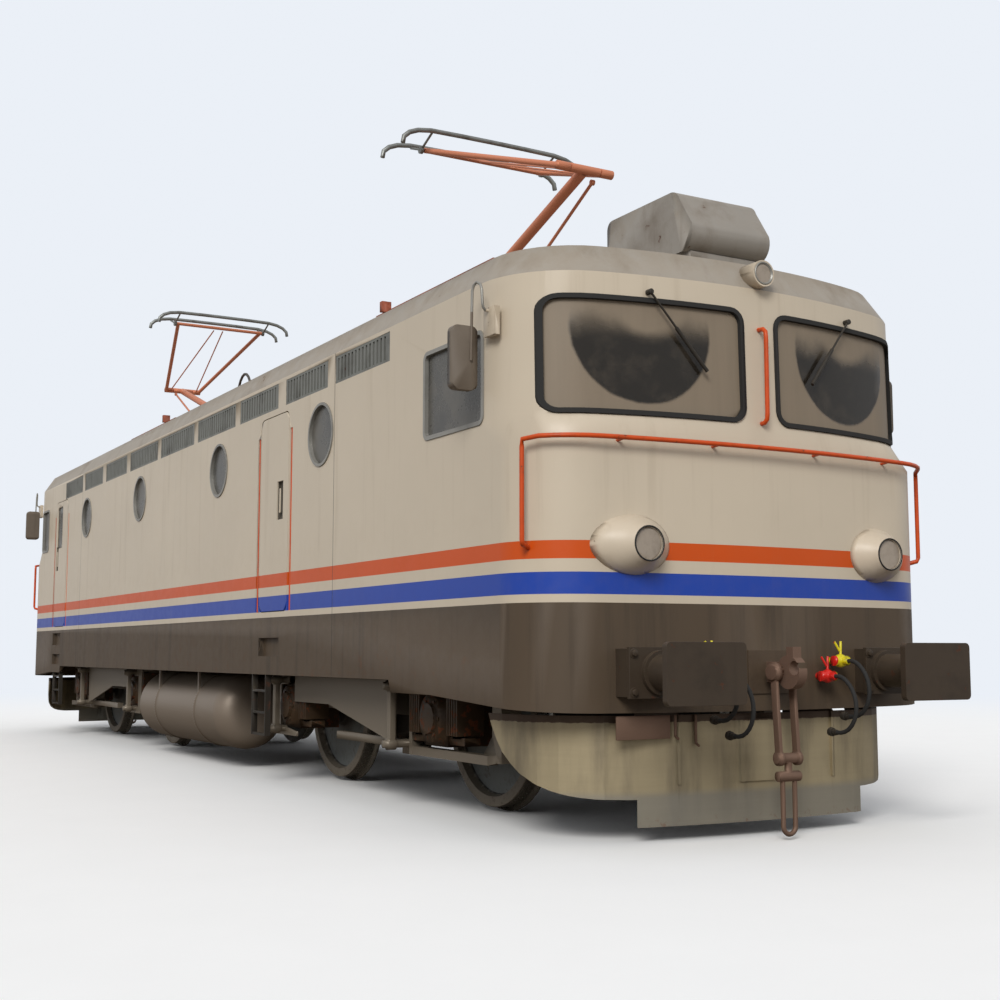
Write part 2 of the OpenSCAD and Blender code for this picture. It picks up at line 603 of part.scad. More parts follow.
plough_nose = [nose_x - 95, 6000, 750, half_w - 125];
plough_t = 14;
blade_z = 90;
// The sheet is cut up behind blade_x, first to wing_z and then along an arc over the rail
blade_x = nose_x - 165;
wing_z = 250;
wing_r = 810;
plough_back = nose_x - 1065;
module snow_ploughs() color([0.62, 0.60, 0.54]) both_ends() {
    difference() {
        translate([0, 0, blade_z]) linear_extrude(skirt_z[2] - blade_z) polygon(cab_outline(plough_nose, 0, plough_back));
        translate([0, 0, blade_z - 1]) linear_extrude(skirt_z[2] - blade_z + 2)
            polygon(cab_outline(plough_nose, plough_t, plough_back - 10));
        side_plate(-half_w, half_w) polygon(concat(
            [[plough_back - 50, 0], [blade_x, 0], [blade_x, wing_z]], arc(blade_x, wing_z + wing_r, wing_r, -90, -157, 10),
            [[plough_back - 50, skirt_z[2] + 5]]));
    }
    for (y = [-600, 600]) side_plate(y - 10, y + 10) polygon([[nose_x - 560, 330], [nose_x - 112, 330],
        [nose_x - 112, skirt_z[2]], [nose_x - 400, 1000], [nose_x - 560, 1000]]);
    block([nose_x - 105, nose_x - 80], [-170, 130], [330, 700]);
}

// ---------- between the bogies ----------
module air_tank() {
    translate([tank[0] - tank[4] / 2, tank[1], tank[2]]) rotate([0, 90, 0]) rotate_extrude($fn = 96)
        polygon(concat([[0, 0]], arc(tank[3] - 190, 190, 190, -90, 0, 8), arc(tank[3] - 190, tank[4] - 190, 190, 0, 90, 8),
                       [[0, tank[4]]]));
    for (dx = [-680, 680]) translate([tank[0] + dx - 20, tank[1], tank[2]]) {
        rotate([0, 90, 0]) difference() {
            cylinder(h = 40, r = tank[3] + 9, $fn = 96);
            translate([0, 0, -1]) cylinder(h = 42, r = tank[3] - 2, $fn = 96);
        }
        for (y = [-tank[3] + 40, tank[3] - 60]) translate([0, y, 130]) cube([40, 20, deck_z - deck_t - tank[2] - 130]);
    }
}
module air_tanks() color([0.30, 0.25, 0.20]) both_ends() air_tank();

ladder_z = [410, 600, 780];
module ladder(x0, x1, top) {
    y = -half_w + 12;
    for (x = [x0, x1]) block([x - 8, x + 8], [y - 4, y + 46], [ladder_z[0], top]);
    for (z = ladder_z + [10, 0, 0]) block([x0 + 8, x1 - 8], [y, y + 40], [z - 10, z + 10]);
}
module ladders() color([0.16, 0.15, 0.14]) both_ends() {
    ladder(room_door[0] - 150, room_door[0] + 170, sill_z);
    ladder(-cab_door[1] + 20, -cab_door[0] - 230, skirt_z[0]);
}

// ---------- roof gear ----------
frame_z = mast_z - 70;
frame_x = [mast_x - 180, mast_x + 1900];
frame_y = 700;
insulator_z = [90:70:230];
module pantograph_base() difference() {
    union() {
        both_sides() {
            block(frame_x, [frame_y - 30, frame_y + 30], [frame_z - 40, frame_z]);
            block([frame_x[0] + 250, frame_x[0] + 300], [frame_y + 25, frame_y + 110], [frame_z - 30, frame_z + 60]);
            for (x = [frame_x[0] + 120, frame_x[1] - 120]) translate([x, frame_y, top_z - 40]) {
                cylinder(h = frame_z - top_z, r = 70, $fn = 32);
                for (z = insulator_z) translate([0, 0, z]) cylinder(h = 22, r = 100, $fn = 32);
            }
            block([mast_x - 30, mast_x + 30], [160, 190], [frame_z - 60, mast_z + 50]);
        }
        for (x = [frame_x[0] + 120, mast_x + 30, rod_foot[0], frame_x[1] - 120])
            block([x - 30, x + 30], [-frame_y + 30, frame_y - 30], [frame_z - 60, frame_z - 20]);
        block([rod_foot[0] - 25, rod_foot[0] + 25], [rod_y + 24, rod_y + 40], [frame_z - 30, rod_foot[1] + 30]);
    }
    roof_bar(0, nose_x);
}
module pantograph_bases() color(arm_paint) both_ends() pantograph_base();

module lower_arm() color(arm_paint) {
    m = [mast_x, 0, mast_z];
    k = [knee_x, 0, knee_z];
    rod(m - [0, 150, 0], m + [0, 150, 0], 60);
    rod(m, k + (m - k) * 0.008, 84);
    rod(k - [0, 130, 0], k + [0, 130, 0], 70);
}
module thrust_rod() color(arm_paint) {
    p = [rod_foot[0], rod_y, rod_foot[1]];
    q = [rod_eye[0], rod_y, rod_eye[1]];
    rod(p, q, 26);
    for (e = [p, q]) rod(e - [0, 14, 0], e + [0, 14, 0], 44);
}

module upper_arm() color(arm_paint) {
    both_sides() {
        rod([knee_x, 140, knee_z], [knee_x, knee_y + 20, knee_z], 70);
        rod([knee_x, knee_y, knee_z], [head_x, tube_y - 20, head_z], 46);
        rod([knee_x - 30, knee_y - 50, knee_z - 10], [head_x + 60, 60, head_z - 24], 16);
    }
    rod([head_x, -tube_y, head_z], [head_x, tube_y, head_z], 40);
}
module pan_head() color(strip_metal) {
    both_sides() {
        translate([head_x, tube_y + 6, head_z]) rotate([-90, 0, 0]) cylinder(h = 26, r = 34, $fn = 32);
        for (s = [-1, 1])
            rod([head_x, tube_y + 19, head_z], [head_x + s * strip_dx, tube_y + 19, strip_z - 22], 20);
    }
    for (s = [-1, 1]) tube([for (p = [[-860, -150], [-850, -95], [-800, -50], [-720, -18], [-600, 0], [-300, 4], [0, 5],
                                      [300, 4], [600, 0], [720, -18], [800, -50], [850, -95], [860, -150]])
                            [head_x + s * strip_dx, p[0] * horn_y / 860, strip_z + p[1]]], 42, 8, [1, 0, 0]);
}
conductor_x = 2700;
conductor_h = 350;
posts_x = [700, 1900];
loop = [-1040, -520, 260, 380];
module roof_conductors() color([0.25, 0.25, 0.25]) {
    both_ends() for (x = posts_x) translate([x, 0, top_z]) {
        cylinder(h = conductor_h - 8, r = 60, $fn = 32);
        for (z = [60:70:270]) translate([0, 0, z]) cylinder(h = 24, r = 95, $fn = 32);
    }
    rod([-conductor_x, 0, top_z + conductor_h], [conductor_x, 0, top_z + conductor_h], 40);
    tube([for (a = [0:15:180]) [loop[0] + loop[2] * cos(a), loop[1], top_z + 250 + loop[3] * sin(a)]], 30, 8, [0, 1, 0]);
    for (s = [-1, 1]) translate([loop[0] + s * loop[2], loop[1], top_z]) cylinder(h = 258, r = 50, $fn = 32);
}

// ---------- running gear ----------
frame_y0 = 1010;
frame_y1 = 1090;
frame_top = 1010;
seat_z = 880;
end_x = half_base + 760;
journal_y = [890, 1240];
journal_r = 75;
box_half = 190;
cover_r = 165;
spring_dx = 285;
spring_y = 1170;
spring_r = 88;
guard_y = [1262, 1282];
shield_y = [1280, 1300];
link_y = [1345, 1385];
cover_z = [axle_z - cover_r - 10, axle_z + cover_r + 10];

// All places below are measured from the bogie's middle; the inner axle is at -half_base
module bogie_side() {
    b = half_base;
    side_plate(frame_y0, frame_y1) polygon([[-end_x + 40, frame_top], [end_x - 40, frame_top], [end_x, 900],
        [b + 330, 900], [b + 230, 940], [b - 230, 940], [b - 330, seat_z], [b - 420, 640], [420 - b, 640],
        [330 - b, seat_z], [230 - b, 940], [-b - 230, 940], [-b - 330, 900], [-end_x, 900]]);
    // spring seats
    for (x = [-b, b], s = [-1, 1]) block([x + s * spring_dx - 90, x + s * spring_dx + 90], [frame_y1 - 10, 1270],
        [seat_z, seat_z + 25]);
    // end gusset by the outer axle, low bars and guides
    side_plate(frame_y0, 1160) polygon([[b + 480, 390], [end_x, 390], [end_x, 905], [b + 640, 905], [b + 640, 560]]);
    block([b - 560, end_x - 60], [1150, 1230], [380, 440]);
    block([-b + 930, b - 470], [1160, 1230], [420, 480]);
    block([b - 440, b - 395], [frame_y1 - 10, 1235], [380, 900]);
    // shield plate and its brackets
    side_plate(shield_y[0], shield_y[1]) polygon([[180 - b, 900], [b - 560, 900], [b - 560, 450], [b - 710, 480],
        [920 - b, 690], [180 - b, 690]]);
    for (x = [450 - b, b - 700]) block([x - 30, x + 30], [frame_y1 - 10, shield_y[0] + 5], [840, 895]);
    // guard round the inner axle's cover, carrying the inner link
    side_plate(guard_y[0], guard_y[1]) polygon([[-b - 330, seat_z + 25], [-b - 290, 400], [-b + 175, 400],
        [-b + 175, cover_z[0] - 40], [-b - 185, cover_z[0]], [-b - 185, cover_z[1]], [-b - 30, cover_z[1]], [-b - 30, seat_z + 25]]);
    link(-b - 80, guard_y[0] + 5);
    link(b - 470, frame_y1 - 10);
    for (z = link_z) rod([b - 470, frame_y1 - 5, z], [b - 470, frame_y1 + 100, z], 92);
    block([b - 500, b - 430], [frame_y1 - 10, 1200], [link_z[0] - 30, frame_top - 100]);
}
link_z = [455, 865];
// Hanging link between two pins
module link(x, y0) {
    for (z = link_z) {
        rod([x, y0, z], [x, link_y[1] + 40, z], 56);
        rod([x, link_y[0] - 12, z], [x, link_y[1] + 12, z], 84);
    }
    block([x - 32, x + 32], link_y, link_z);
}
module bogie_frame() color(frame_paint) translate([bogie_x, 0, 0]) {
    both_sides() bogie_side();
    for (x = [-end_x + 20, end_x - 120]) block([x, x + 100], [-frame_y0 - 5, frame_y0 + 5], [900, 1000]);
    difference() {
        block([-260, 260], [-frame_y0 - 5, frame_y0 + 5], [760, 990]);
        translate([0, 0, 750]) cylinder(h = 250, r = pivot_r + 12, $fn = 48);
    }
}
module axle_boxes() color(frame_paint) for (ax = axle_places) translate([ax, 0, 0]) both_sides() {
    difference() {
        block([-170, 170], journal_y, [axle_z - box_half, axle_z + box_half]);
        translate([0, journal_y[0] - 1, axle_z]) rotate([-90, 0, 0])
            cylinder(h = journal_y[1] - journal_y[0] - 60, r = journal_r + 6, $fn = 48);
    }
    translate([0, journal_y[1] - 5, axle_z]) rotate([-90, 0, 0]) cylinder(h = 55, r = cover_r, $fn = 48);
    translate([0, journal_y[1] + 45, axle_z]) rotate([-90, 0, 0]) cylinder(h = 35, r = 105, $fn = 48);
    for (s = [-1, 1]) {
        block(s > 0 ? [165, 390] : [-390, -165], [1110, 1230], [axle_z - 170, axle_z - 120]);
        translate([s * spring_dx, spring_y, axle_z - 125]) cylinder(h = seat_z - axle_z + 125, r = spring_r, $fn = 32);
    }
}
motor_dx = 560;
motor_r = 330;
module traction_motors() color(frame_paint) for (s = [1, -1]) translate([bogie_x - s * half_base, 0, axle_z]) difference() {
    union() {
        translate([s * motor_dx, 0, 20]) rotate([90, 0, 0]) cylinder(h = 1060, r = motor_r, center = true, $fn = 64);
        block(s > 0 ? [100, motor_dx] : [-motor_dx, -100], [-430, 430], [-190, 190]);
        rotate([90, 0, 0]) cylinder(h = 860, r = 190, center = true, $fn = 64);
    }
    rotate([90, 0, 0]) cylinder(h = 1100, r = axle_d / 2 + 6, center = true, $fn = 64);
}
module wheelset(ax) color([0.42, 0.44, 0.46]) translate([ax, 0, axle_z]) rotate([90, 0, 0]) {
    translate([0, 0, -back_to_back / 2 - 200]) cylinder(h = back_to_back + 400, d = axle_d, $fn = 64);
    translate([0, 0, -journal_y[1] + 80]) cylinder(h = 2 * journal_y[1] - 160, r = journal_r, $fn = 48);
    hub = axle_d / 2;
    for (m = [0, 1]) mirror([0, 0, m]) translate([0, 0, back_to_back / 2]) rotate_extrude($fn = 128)
        polygon([[hub - 5, 0], [hub + 70, 0], [hub + 90, 45], [wheel_r - 90, 35],
                 [wheel_r - 70, 0], [flange_r - 8, 0], [flange_r, 10], [flange_r - 4, 24], [wheel_r + 4, 34],
                 [wheel_r, 44], [wheel_r - 4, rim_w - 6], [wheel_r - 10, rim_w], [wheel_r - 75, rim_w],
                 [wheel_r - 90, 70], [hub + 90, 85], [hub + 70, rim_w + 15], [hub - 5, rim_w + 15]]);
}

underframe();
transformer_block();
cab_front();
cab_rear();
side_walls();
roof();
cab_furniture();
window_glass();
windscreen_seals();
window_frames();
side_grilles();
cab_door_front();
cab_door_rear();
machine_door_right();
machine_door_left();
door_handrails();
end_handrails();
headlamps();
lamp_lenses();
air_conditioner();
mirrors();
wipers();
buffers();
draw_hooks();
screw_couplings();
air_cocks();
hose(0);  // hose_front_1
hose(1);  // hose_front_2
hose(2);  // hose_front_3
hose(3);  // hose_front_4
rotate([0, 0, 180]) hose(0);  // hose_rear_1
rotate([0, 0, 180]) hose(1);  // hose_rear_2
rotate([0, 0, 180]) hose(2);  // hose_rear_3
rotate([0, 0, 180]) hose(3);  // hose_rear_4
hose_heads();
snow_ploughs();
air_tanks();
ladders();
pantograph_bases();
roof_conductors();
lower_arm();  // lower_arm_front
thrust_rod();  // thrust_rod_front
rotate([0, 0, 180]) thrust_rod();  // thrust_rod_rear
upper_arm();  // upper_arm_front
pan_head();  // pan_head_front
rotate([0, 0, 180]) lower_arm();  // lower_arm_rear
rotate([0, 0, 180]) upper_arm();  // upper_arm_rear
rotate([0, 0, 180]) pan_head();  // pan_head_rear
bogie_frame();  // bogie_frame_front
rotate([0, 0, 180]) bogie_frame();  // bogie_frame_rear
axle_boxes();  // axle_boxes_front
rotate([0, 0, 180]) axle_boxes();  // axle_boxes_rear
traction_motors();  // traction_motors_front
rotate([0, 0, 180]) traction_motors();  // traction_motors_rear
wheelset(axle_places[1]);  // wheelset_1
wheelset(axle_places[0]);  // wheelset_2
wheelset(-axle_places[0]);  // wheelset_3
wheelset(-axle_places[1]);  // wheelset_4
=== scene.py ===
"""Looks of a mainline electric locomotive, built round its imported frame.

Lengths are metres.  X runs along the track to the front cab, Y to the left, Z up,
and the wheels stand on Z = 0.  The rear half is the front half turned half round.
"""

import json
import logging
import math
from dataclasses import dataclass
from enum import Enum
from typing import Callable

import bpy
from mathutils import Matrix, Vector

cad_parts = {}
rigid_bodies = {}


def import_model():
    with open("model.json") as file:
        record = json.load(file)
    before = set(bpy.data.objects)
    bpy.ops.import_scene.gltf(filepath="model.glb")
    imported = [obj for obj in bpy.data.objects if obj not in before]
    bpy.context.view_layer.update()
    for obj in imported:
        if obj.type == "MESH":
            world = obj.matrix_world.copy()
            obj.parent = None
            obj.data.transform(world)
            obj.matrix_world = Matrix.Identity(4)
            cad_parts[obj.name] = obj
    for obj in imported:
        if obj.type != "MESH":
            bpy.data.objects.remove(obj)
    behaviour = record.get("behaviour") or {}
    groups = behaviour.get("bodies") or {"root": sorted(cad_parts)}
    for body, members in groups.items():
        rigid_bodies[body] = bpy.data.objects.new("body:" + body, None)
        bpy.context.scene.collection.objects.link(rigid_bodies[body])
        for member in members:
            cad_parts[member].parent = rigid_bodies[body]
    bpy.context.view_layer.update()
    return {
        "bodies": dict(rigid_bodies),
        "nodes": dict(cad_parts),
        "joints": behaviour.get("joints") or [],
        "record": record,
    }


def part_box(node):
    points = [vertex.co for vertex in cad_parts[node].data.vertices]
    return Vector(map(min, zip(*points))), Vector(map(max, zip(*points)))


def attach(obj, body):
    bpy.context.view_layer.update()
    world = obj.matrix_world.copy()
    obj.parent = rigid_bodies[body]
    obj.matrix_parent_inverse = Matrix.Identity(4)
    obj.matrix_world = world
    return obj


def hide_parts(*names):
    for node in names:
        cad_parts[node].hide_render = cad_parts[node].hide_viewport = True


LOG = logging.getLogger("locomotive")

Colour = tuple[float, float, float]
Point = tuple[float, float, float]


class End(Enum):
    """The two ends of the locomotive, as the way each one faces along X."""

    FRONT = 1
    REAR = -1

    @property
    def word(self) -> str:
        """Lower-case name of the end, as node names use it."""
        return self.name.lower()

    @property
    def turn(self) -> Matrix:
        """Half turn about Z that carries the front end to this one."""
        return Matrix.Rotation(0.0 if self is End.FRONT else math.pi, 4, "Z")


def tone(red: float, green: float, blue: float) -> Colour:
    """Linear colour of a paint.

    Args:
        red, green, blue: Screen values from 0 to 255.

    Returns:
        The three linear channels.
    """

    def channel(value: float) -> float:
        """One screen channel made linear."""
        part = value / 255.0
        return part / 12.92 if part <= 0.04045 else ((part + 0.055) / 1.055) ** 2.4

    return channel(red), channel(green), channel(blue)


RUST = tone(112, 62, 36)
DARK_RUST = tone(62, 42, 32)
ROAD_DUST = tone(140, 122, 98)
# Soot colour for grease and grime, also used as painted shade in the body's recesses.
SOOT_AND_SHADE = tone(38, 34, 30)


# ---------- shader arithmetic ----------
class Socket:
    """A shader link on which arithmetic may be written."""

    def __init__(self, graph: "Graph", link: bpy.types.NodeSocket) -> None:
        """Wraps a node's output."""
        self.graph = graph
        self.link = link

    def math(self, operation: str, *values: "Socket | float") -> "Socket":
        """A Math node on the given values."""
        inputs = dict(enumerate(values))
        return self.graph.node("ShaderNodeMath", {"operation": operation}, inputs)

    def __add__(self, other: "Socket | float") -> "Socket":
        """Sum."""
        return self.math("ADD", self, other)

    __radd__ = __add__

    def __sub__(self, other: "Socket | float") -> "Socket":
        """Difference."""
        return self.math("SUBTRACT", self, other)

    def __rsub__(self, other: float) -> "Socket":
        """Difference from a number."""
        return self.math("SUBTRACT", other, self)

    def __mul__(self, other: "Socket | float") -> "Socket":
        """Product."""
        return self.math("MULTIPLY", self, other)

    __rmul__ = __mul__

    def __truediv__(self, other: "Socket | float") -> "Socket":
        """Quotient."""
        return self.math("DIVIDE", self, other)

    def __pow__(self, other: "Socket | float") -> "Socket":
        """Power."""
        return self.math("POWER", self, other)

    def __abs__(self) -> "Socket":
        """Size without sign."""
        return self.math("ABSOLUTE", self)

    def above(self, low: float, high: float) -> "Socket":
        """Smooth mask that is 0 below low and 1 above high, low less than high."""
        values = {"Value": self, "From Min": low, "From Max": high}
        return self.graph.node("ShaderNodeMapRange", {"interpolation_type": "SMOOTHSTEP"}, values)

    def below(self, low: float, high: float) -> "Socket":
        """Smooth mask that is 1 below low and 0 above high, low less than high."""
        return 1.0 - self.above(low, high)


class Graph:
    """Node tree of one material."""

    def __init__(self, name: str) -> None:
        """Starts a material with a plain shader.

        Args:
            name: Name of the material.
        """
        self.material = bpy.data.materials.new(name)
        self.material.use_nodes = True
        self.tree = self.material.node_tree
        self.shader = self.tree.nodes["Principled BSDF"]

    def node(
        self,
        kind: str,
        settings: dict | None = None,
        values: dict | None = None,
        output: int | str = 0,
    ) -> Socket:
        """Adds a node of any kind.

        Args:
            kind: Node type.
            settings: Properties of the node, set first.
            values: Numbers or links for its inputs, by name or place.
            output: The output that is wanted.

        Returns:
            That output, wrapped.
        """
        made = self.tree.nodes.new(kind)
        for key, value in (settings or {}).items():
            setattr(made, key, value)
        for key, value in (values or {}).items():
            if isinstance(value, Socket):
                self.tree.links.new(value.link, made.inputs[key])
            else:
                made.inputs[key].default_value = value
        return Socket(self, made.outputs[output])

    def place(self) -> Socket:
        """Position on the piece, in the shared frame."""
        return self.node("ShaderNodeTexCoord", output="Object")

    def upward(self) -> Socket:
        """How far a surface faces up, from -1 to 1."""
        return self.parts(self.node("ShaderNodeTexCoord", output="Normal"))[2]

    def parts(self, vector: Socket) -> tuple[Socket, Socket, Socket]:
        """The X, Y and Z of a vector."""
        split = self.node("ShaderNodeSeparateXYZ", values={0: vector}).link.node
        return tuple(Socket(self, link) for link in split.outputs)

    def stretched(self, vector: Socket, scale: Point) -> Socket:
        """A vector scaled apart on each axis."""
        return self.node("ShaderNodeMapping", values={"Vector": vector, "Scale": scale})

    def noise(self, vector: Socket, scale: float, detail: float = 5.0) -> Socket:
        """Cloudy noise from 0 to 1."""
        values = {"Vector": vector, "Scale": scale, "Detail": detail, "Roughness": 0.6}
        return self.node("ShaderNodeTexNoise", values=values)

    def distance(self, first: Socket, second: Socket) -> Socket:
        """Length of the hypotenuse on two offsets."""
        return (first * first + second * second) ** 0.5

    def within(self, value: Socket, low: float, high: float, soft: float = 0.001) -> Socket:
        """Mask of the values between two limits."""
        return value.above(low - soft, low + soft) * value.below(high - soft, high + soft)

    def mix(self, first: Socket | Colour, second: Socket | Colour, factor: Socket | float) -> Socket:
        """Blend from a first colour to a second.

        Args:
            first, second: The colours at factor 0 and 1.
            factor: Share of the second.

        Returns:
            The blended colour.
        """
        ends = [c if isinstance(c, Socket) else (*c, 1.0) for c in (first, second)]
        values = {0: factor, 6: ends[0], 7: ends[1]}
        return self.node("ShaderNodeMix", {"data_type": "RGBA"}, values, 2)

    def shade(self, colour: Socket | Colour, amount: Socket) -> Socket:
        """A colour made lighter or darker by a value near 1.

        Args:
            colour: The colour.
            amount: The value.

        Returns:
            The colour times the value.
        """
        first = colour if isinstance(colour, Socket) else (*colour, 1.0)
        settings = {"data_type": "RGBA", "blend_type": "MULTIPLY"}
        return self.node("ShaderNodeMix", settings, {0: 1.0, 6: first, 7: amount}, 2)

    def relief(self, height: Socket, distance: float, strength: float = 1.0) -> Socket:
        """Bump of a given depth in metres."""
        values = {"Height": height, "Distance": distance, "Strength": strength}
        return self.node("ShaderNodeBump", values=values)

    def finish(self, **values: "Socket | float | Colour") -> bpy.types.Material:
        """Sets the shader's inputs, underscores standing for the spaces in their names.

        Args:
            values: Numbers, colours or links by input name.

        Returns:
            The finished material.
        """
        for key, value in values.items():
            target = self.shader.inputs[key.replace("_", " ")]
            if isinstance(value, Socket):
                self.tree.links.new(value.link, target)
            elif isinstance(value, tuple):
                target.default_value = (*value, 1.0)
            else:
                target.default_value = value
        return self.material


# ---------- finishes ----------
@dataclass(frozen=True)
class Finish:
    """One surface finish."""

    name: str

    def make(self) -> bpy.types.Material:
        """The material of this finish, made the first time that it is asked for."""
        known = bpy.data.materials.get(self.name)
        return known or self.dress(Graph(self.name))

    def dress(self, graph: Graph) -> bpy.types.Material:
        """Builds the nodes of the finish."""
        raise NotImplementedError


@dataclass(frozen=True)
class LiveryPaint(Finish):
    """Cream body paint with a blue and an orange line, over a taupe frame band."""

    cream: Colour = tone(203, 191, 172)
    band: Colour = tone(82, 69, 55)
    blue: Colour = tone(30, 68, 168)
    orange: Colour = tone(205, 80, 8)
    deck: float = 1.388
    blue_line: tuple[float, float] = (1.436, 1.564)
    orange_line: tuple[float, float] = (1.640, 1.746)
    wall: float = 1.575
    module_joint: float = 4.125
    recess_end: float = 5.71

    def dress(self, graph: Graph) -> bpy.types.Material:
        """Lines by height, with washed streaks, road dirt low down and painted shade in the recesses.

        Args:
            graph: Node tree that is filled.

        Returns:
            The finished material.
        """
        place = graph.place()
        x, y, z = graph.parts(place)
        clouds = graph.noise(place, 0.8, 4.0)
        specks = graph.noise(place, 11.0, 9.0)
        runs = graph.noise(graph.stretched(place, (9.0, 9.0, 0.5)), 1.0, 6.0)
        body = z.above(self.deck - 0.001, self.deck + 0.001)
        colour = graph.mix(self.band, self.cream, body)
        colour = graph.mix(colour, self.blue, graph.within(z, *self.blue_line))
        colour = graph.mix(colour, self.orange, graph.within(z, *self.orange_line))
        colour = graph.shade(colour, clouds * 0.16 + 0.92)
        lined = z.above(1.80, 1.95) * 0.75 + 0.25
        washed = runs.above(0.52, 0.74) * 0.16 + z.below(1.40, 2.10) * specks.above(0.35, 0.75) * 0.16
        washed = washed * lined
        colour = graph.mix(colour, ROAD_DUST, washed * body)
        bare = 1.0 - body
        rust = specks.above(0.58, 0.68) * z.below(0.95, 1.30) * bare * clouds.above(0.45, 0.65)
        colour = graph.mix(colour, RUST, rust * 0.30)
        colour = graph.mix(colour, SOOT_AND_SHADE, runs.above(0.48, 0.72) * bare * 0.35)
        seam = abs(abs(x) - self.module_joint).below(0.003, 0.007)
        # Painted shade: faces above the deck that sit behind the outer wall, short of the recess end, go
        # dark.
        painted_recess_shade = abs(y).below(self.wall - 0.016, self.wall - 0.006)
        painted_recess_shade = painted_recess_shade * abs(x).below(self.recess_end, self.recess_end + 0.01) * body
        # The painted recess shade is laid on in the soot colour.
        colour = graph.mix(colour, SOOT_AND_SHADE, painted_recess_shade.math("MAXIMUM", painted_recess_shade * 0.9, seam * 0.65))
        height = clouds * 0.6 + specks * 0.10 - seam * 0.8
        return graph.finish(
            Base_Color=colour,
            Roughness=specks * 0.16 + washed * 0.3 + bare * 0.18 + 0.28,
            Normal=graph.relief(height, 0.004, 0.5),
            Specular_IOR_Level=0.35,
        )


@dataclass(frozen=True)
class WeatheredPaint(Finish):
    """Plain paint that has been out in all weathers."""

    colour: Colour
    grime: Colour = DARK_RUST
    rust: float = 0.2
    dust: float = 0.3
    roughness: float = 0.5
    grain: float = 12.0
    metal: float = 0.0
    depth: float = 0.0015
    coat: float = 0.0

    def dress(self, graph: Graph) -> bpy.types.Material:
        """Stains and runs over the colour, rust where it has chipped, dust on what faces up.

        Args:
            graph: Node tree that is filled.

        Returns:
            The finished material.
        """
        place = graph.place()
        patches = graph.noise(place, self.grain * 0.25, 6.0)
        fine = graph.noise(place, self.grain, 10.0)
        runs = graph.noise(graph.stretched(place, (9.0, 9.0, 0.8)), 1.0, 5.0)
        colour = graph.shade(self.colour, patches * 0.30 + 0.85)
        stained = patches.above(0.46, 0.72) * 0.55 + runs.above(0.52, 0.75) * 0.25
        colour = graph.mix(colour, self.grime, stained)
        chipped = (fine * 0.7 + patches * 0.3).above(0.66 - 0.22 * self.rust, 0.72 - 0.20 * self.rust)
        colour = graph.mix(colour, RUST, chipped * min(1.0, 0.35 + self.rust))
        colour = graph.mix(colour, DARK_RUST, chipped * fine.above(0.60, 0.70) * 0.8)
        settled = graph.upward().above(0.3, 0.95) * fine.above(0.20, 0.60) * self.dust
        colour = graph.mix(colour, ROAD_DUST, settled)
        return graph.finish(
            Base_Color=colour,
            Roughness=chipped * 0.25 + fine * 0.20 + (self.roughness - 0.10),
            Metallic=(1.0 - chipped) * self.metal if self.metal else 0.0,
            Specular_IOR_Level=0.3,
            Coat_Weight=self.coat,
            Normal=graph.relief(fine * 0.5 - chipped * 0.5, self.depth, 0.6),
        )


@dataclass(frozen=True)
class RustySteel(Finish):
    """Bare forged steel, handled bright on top of old rust."""

    dark: Colour = tone(42, 35, 27)
    brown: Colour = tone(60, 49, 38)
    rubbed: float = 0.25

    def dress(self, graph: Graph) -> bpy.types.Material:
        """Three browns in patches, pitted, with a dull shine where it is rubbed.

        Args:
            graph: Node tree that is filled.

        Returns:
            The finished material.
        """
        place = graph.place()
        patches = graph.noise(place, 6.0, 8.0)
        pits = graph.noise(place, 45.0, 10.0)
        colour = graph.mix(self.dark, self.brown, patches.above(0.35, 0.65))
        colour = graph.mix(colour, RUST, pits.above(0.52, 0.68) * patches.above(0.45, 0.60) * 0.4)
        shiny = patches.below(0.40, 0.50) * self.rubbed
        colour = graph.mix(colour, tone(120, 112, 102), shiny)
        return graph.finish(
            Base_Color=colour,
            Roughness=0.72 + pits * 0.20 - shiny * 0.9,
            Metallic=shiny * 2.4,
            Normal=graph.relief(pits * 0.6 + patches * 0.4, 0.0025, 0.7),
        )


@dataclass(frozen=True)
class DirtyGlass(Finish):
    """Tinted glass under an even film of dust."""

    film: Colour = tone(116, 112, 104)
    tint: Colour = tone(40, 46, 52)
    opacity: float = 0.80

    def dress(self, graph: Graph) -> bpy.types.Material:
        """Dust gathers in soft patches over a fine grain.

        Args:
            graph: Node tree that is filled.

        Returns:
            The finished material.
        """
        place = graph.place()
        patches = graph.noise(place, 2.6, 5.0)
        fine = graph.noise(place, 60.0, 6.0)
        film = patches.above(0.25, 0.75) * 0.5 + fine * 0.2 + 0.20
        return graph.finish(
            Base_Color=graph.mix(self.tint, self.film, film),
            Roughness=film * 0.45 + 0.04,
            Alpha=film * (1.0 - self.opacity) + self.opacity,
            Normal=graph.relief(patches, 0.002, 0.25),
            Specular_IOR_Level=0.6,
        )


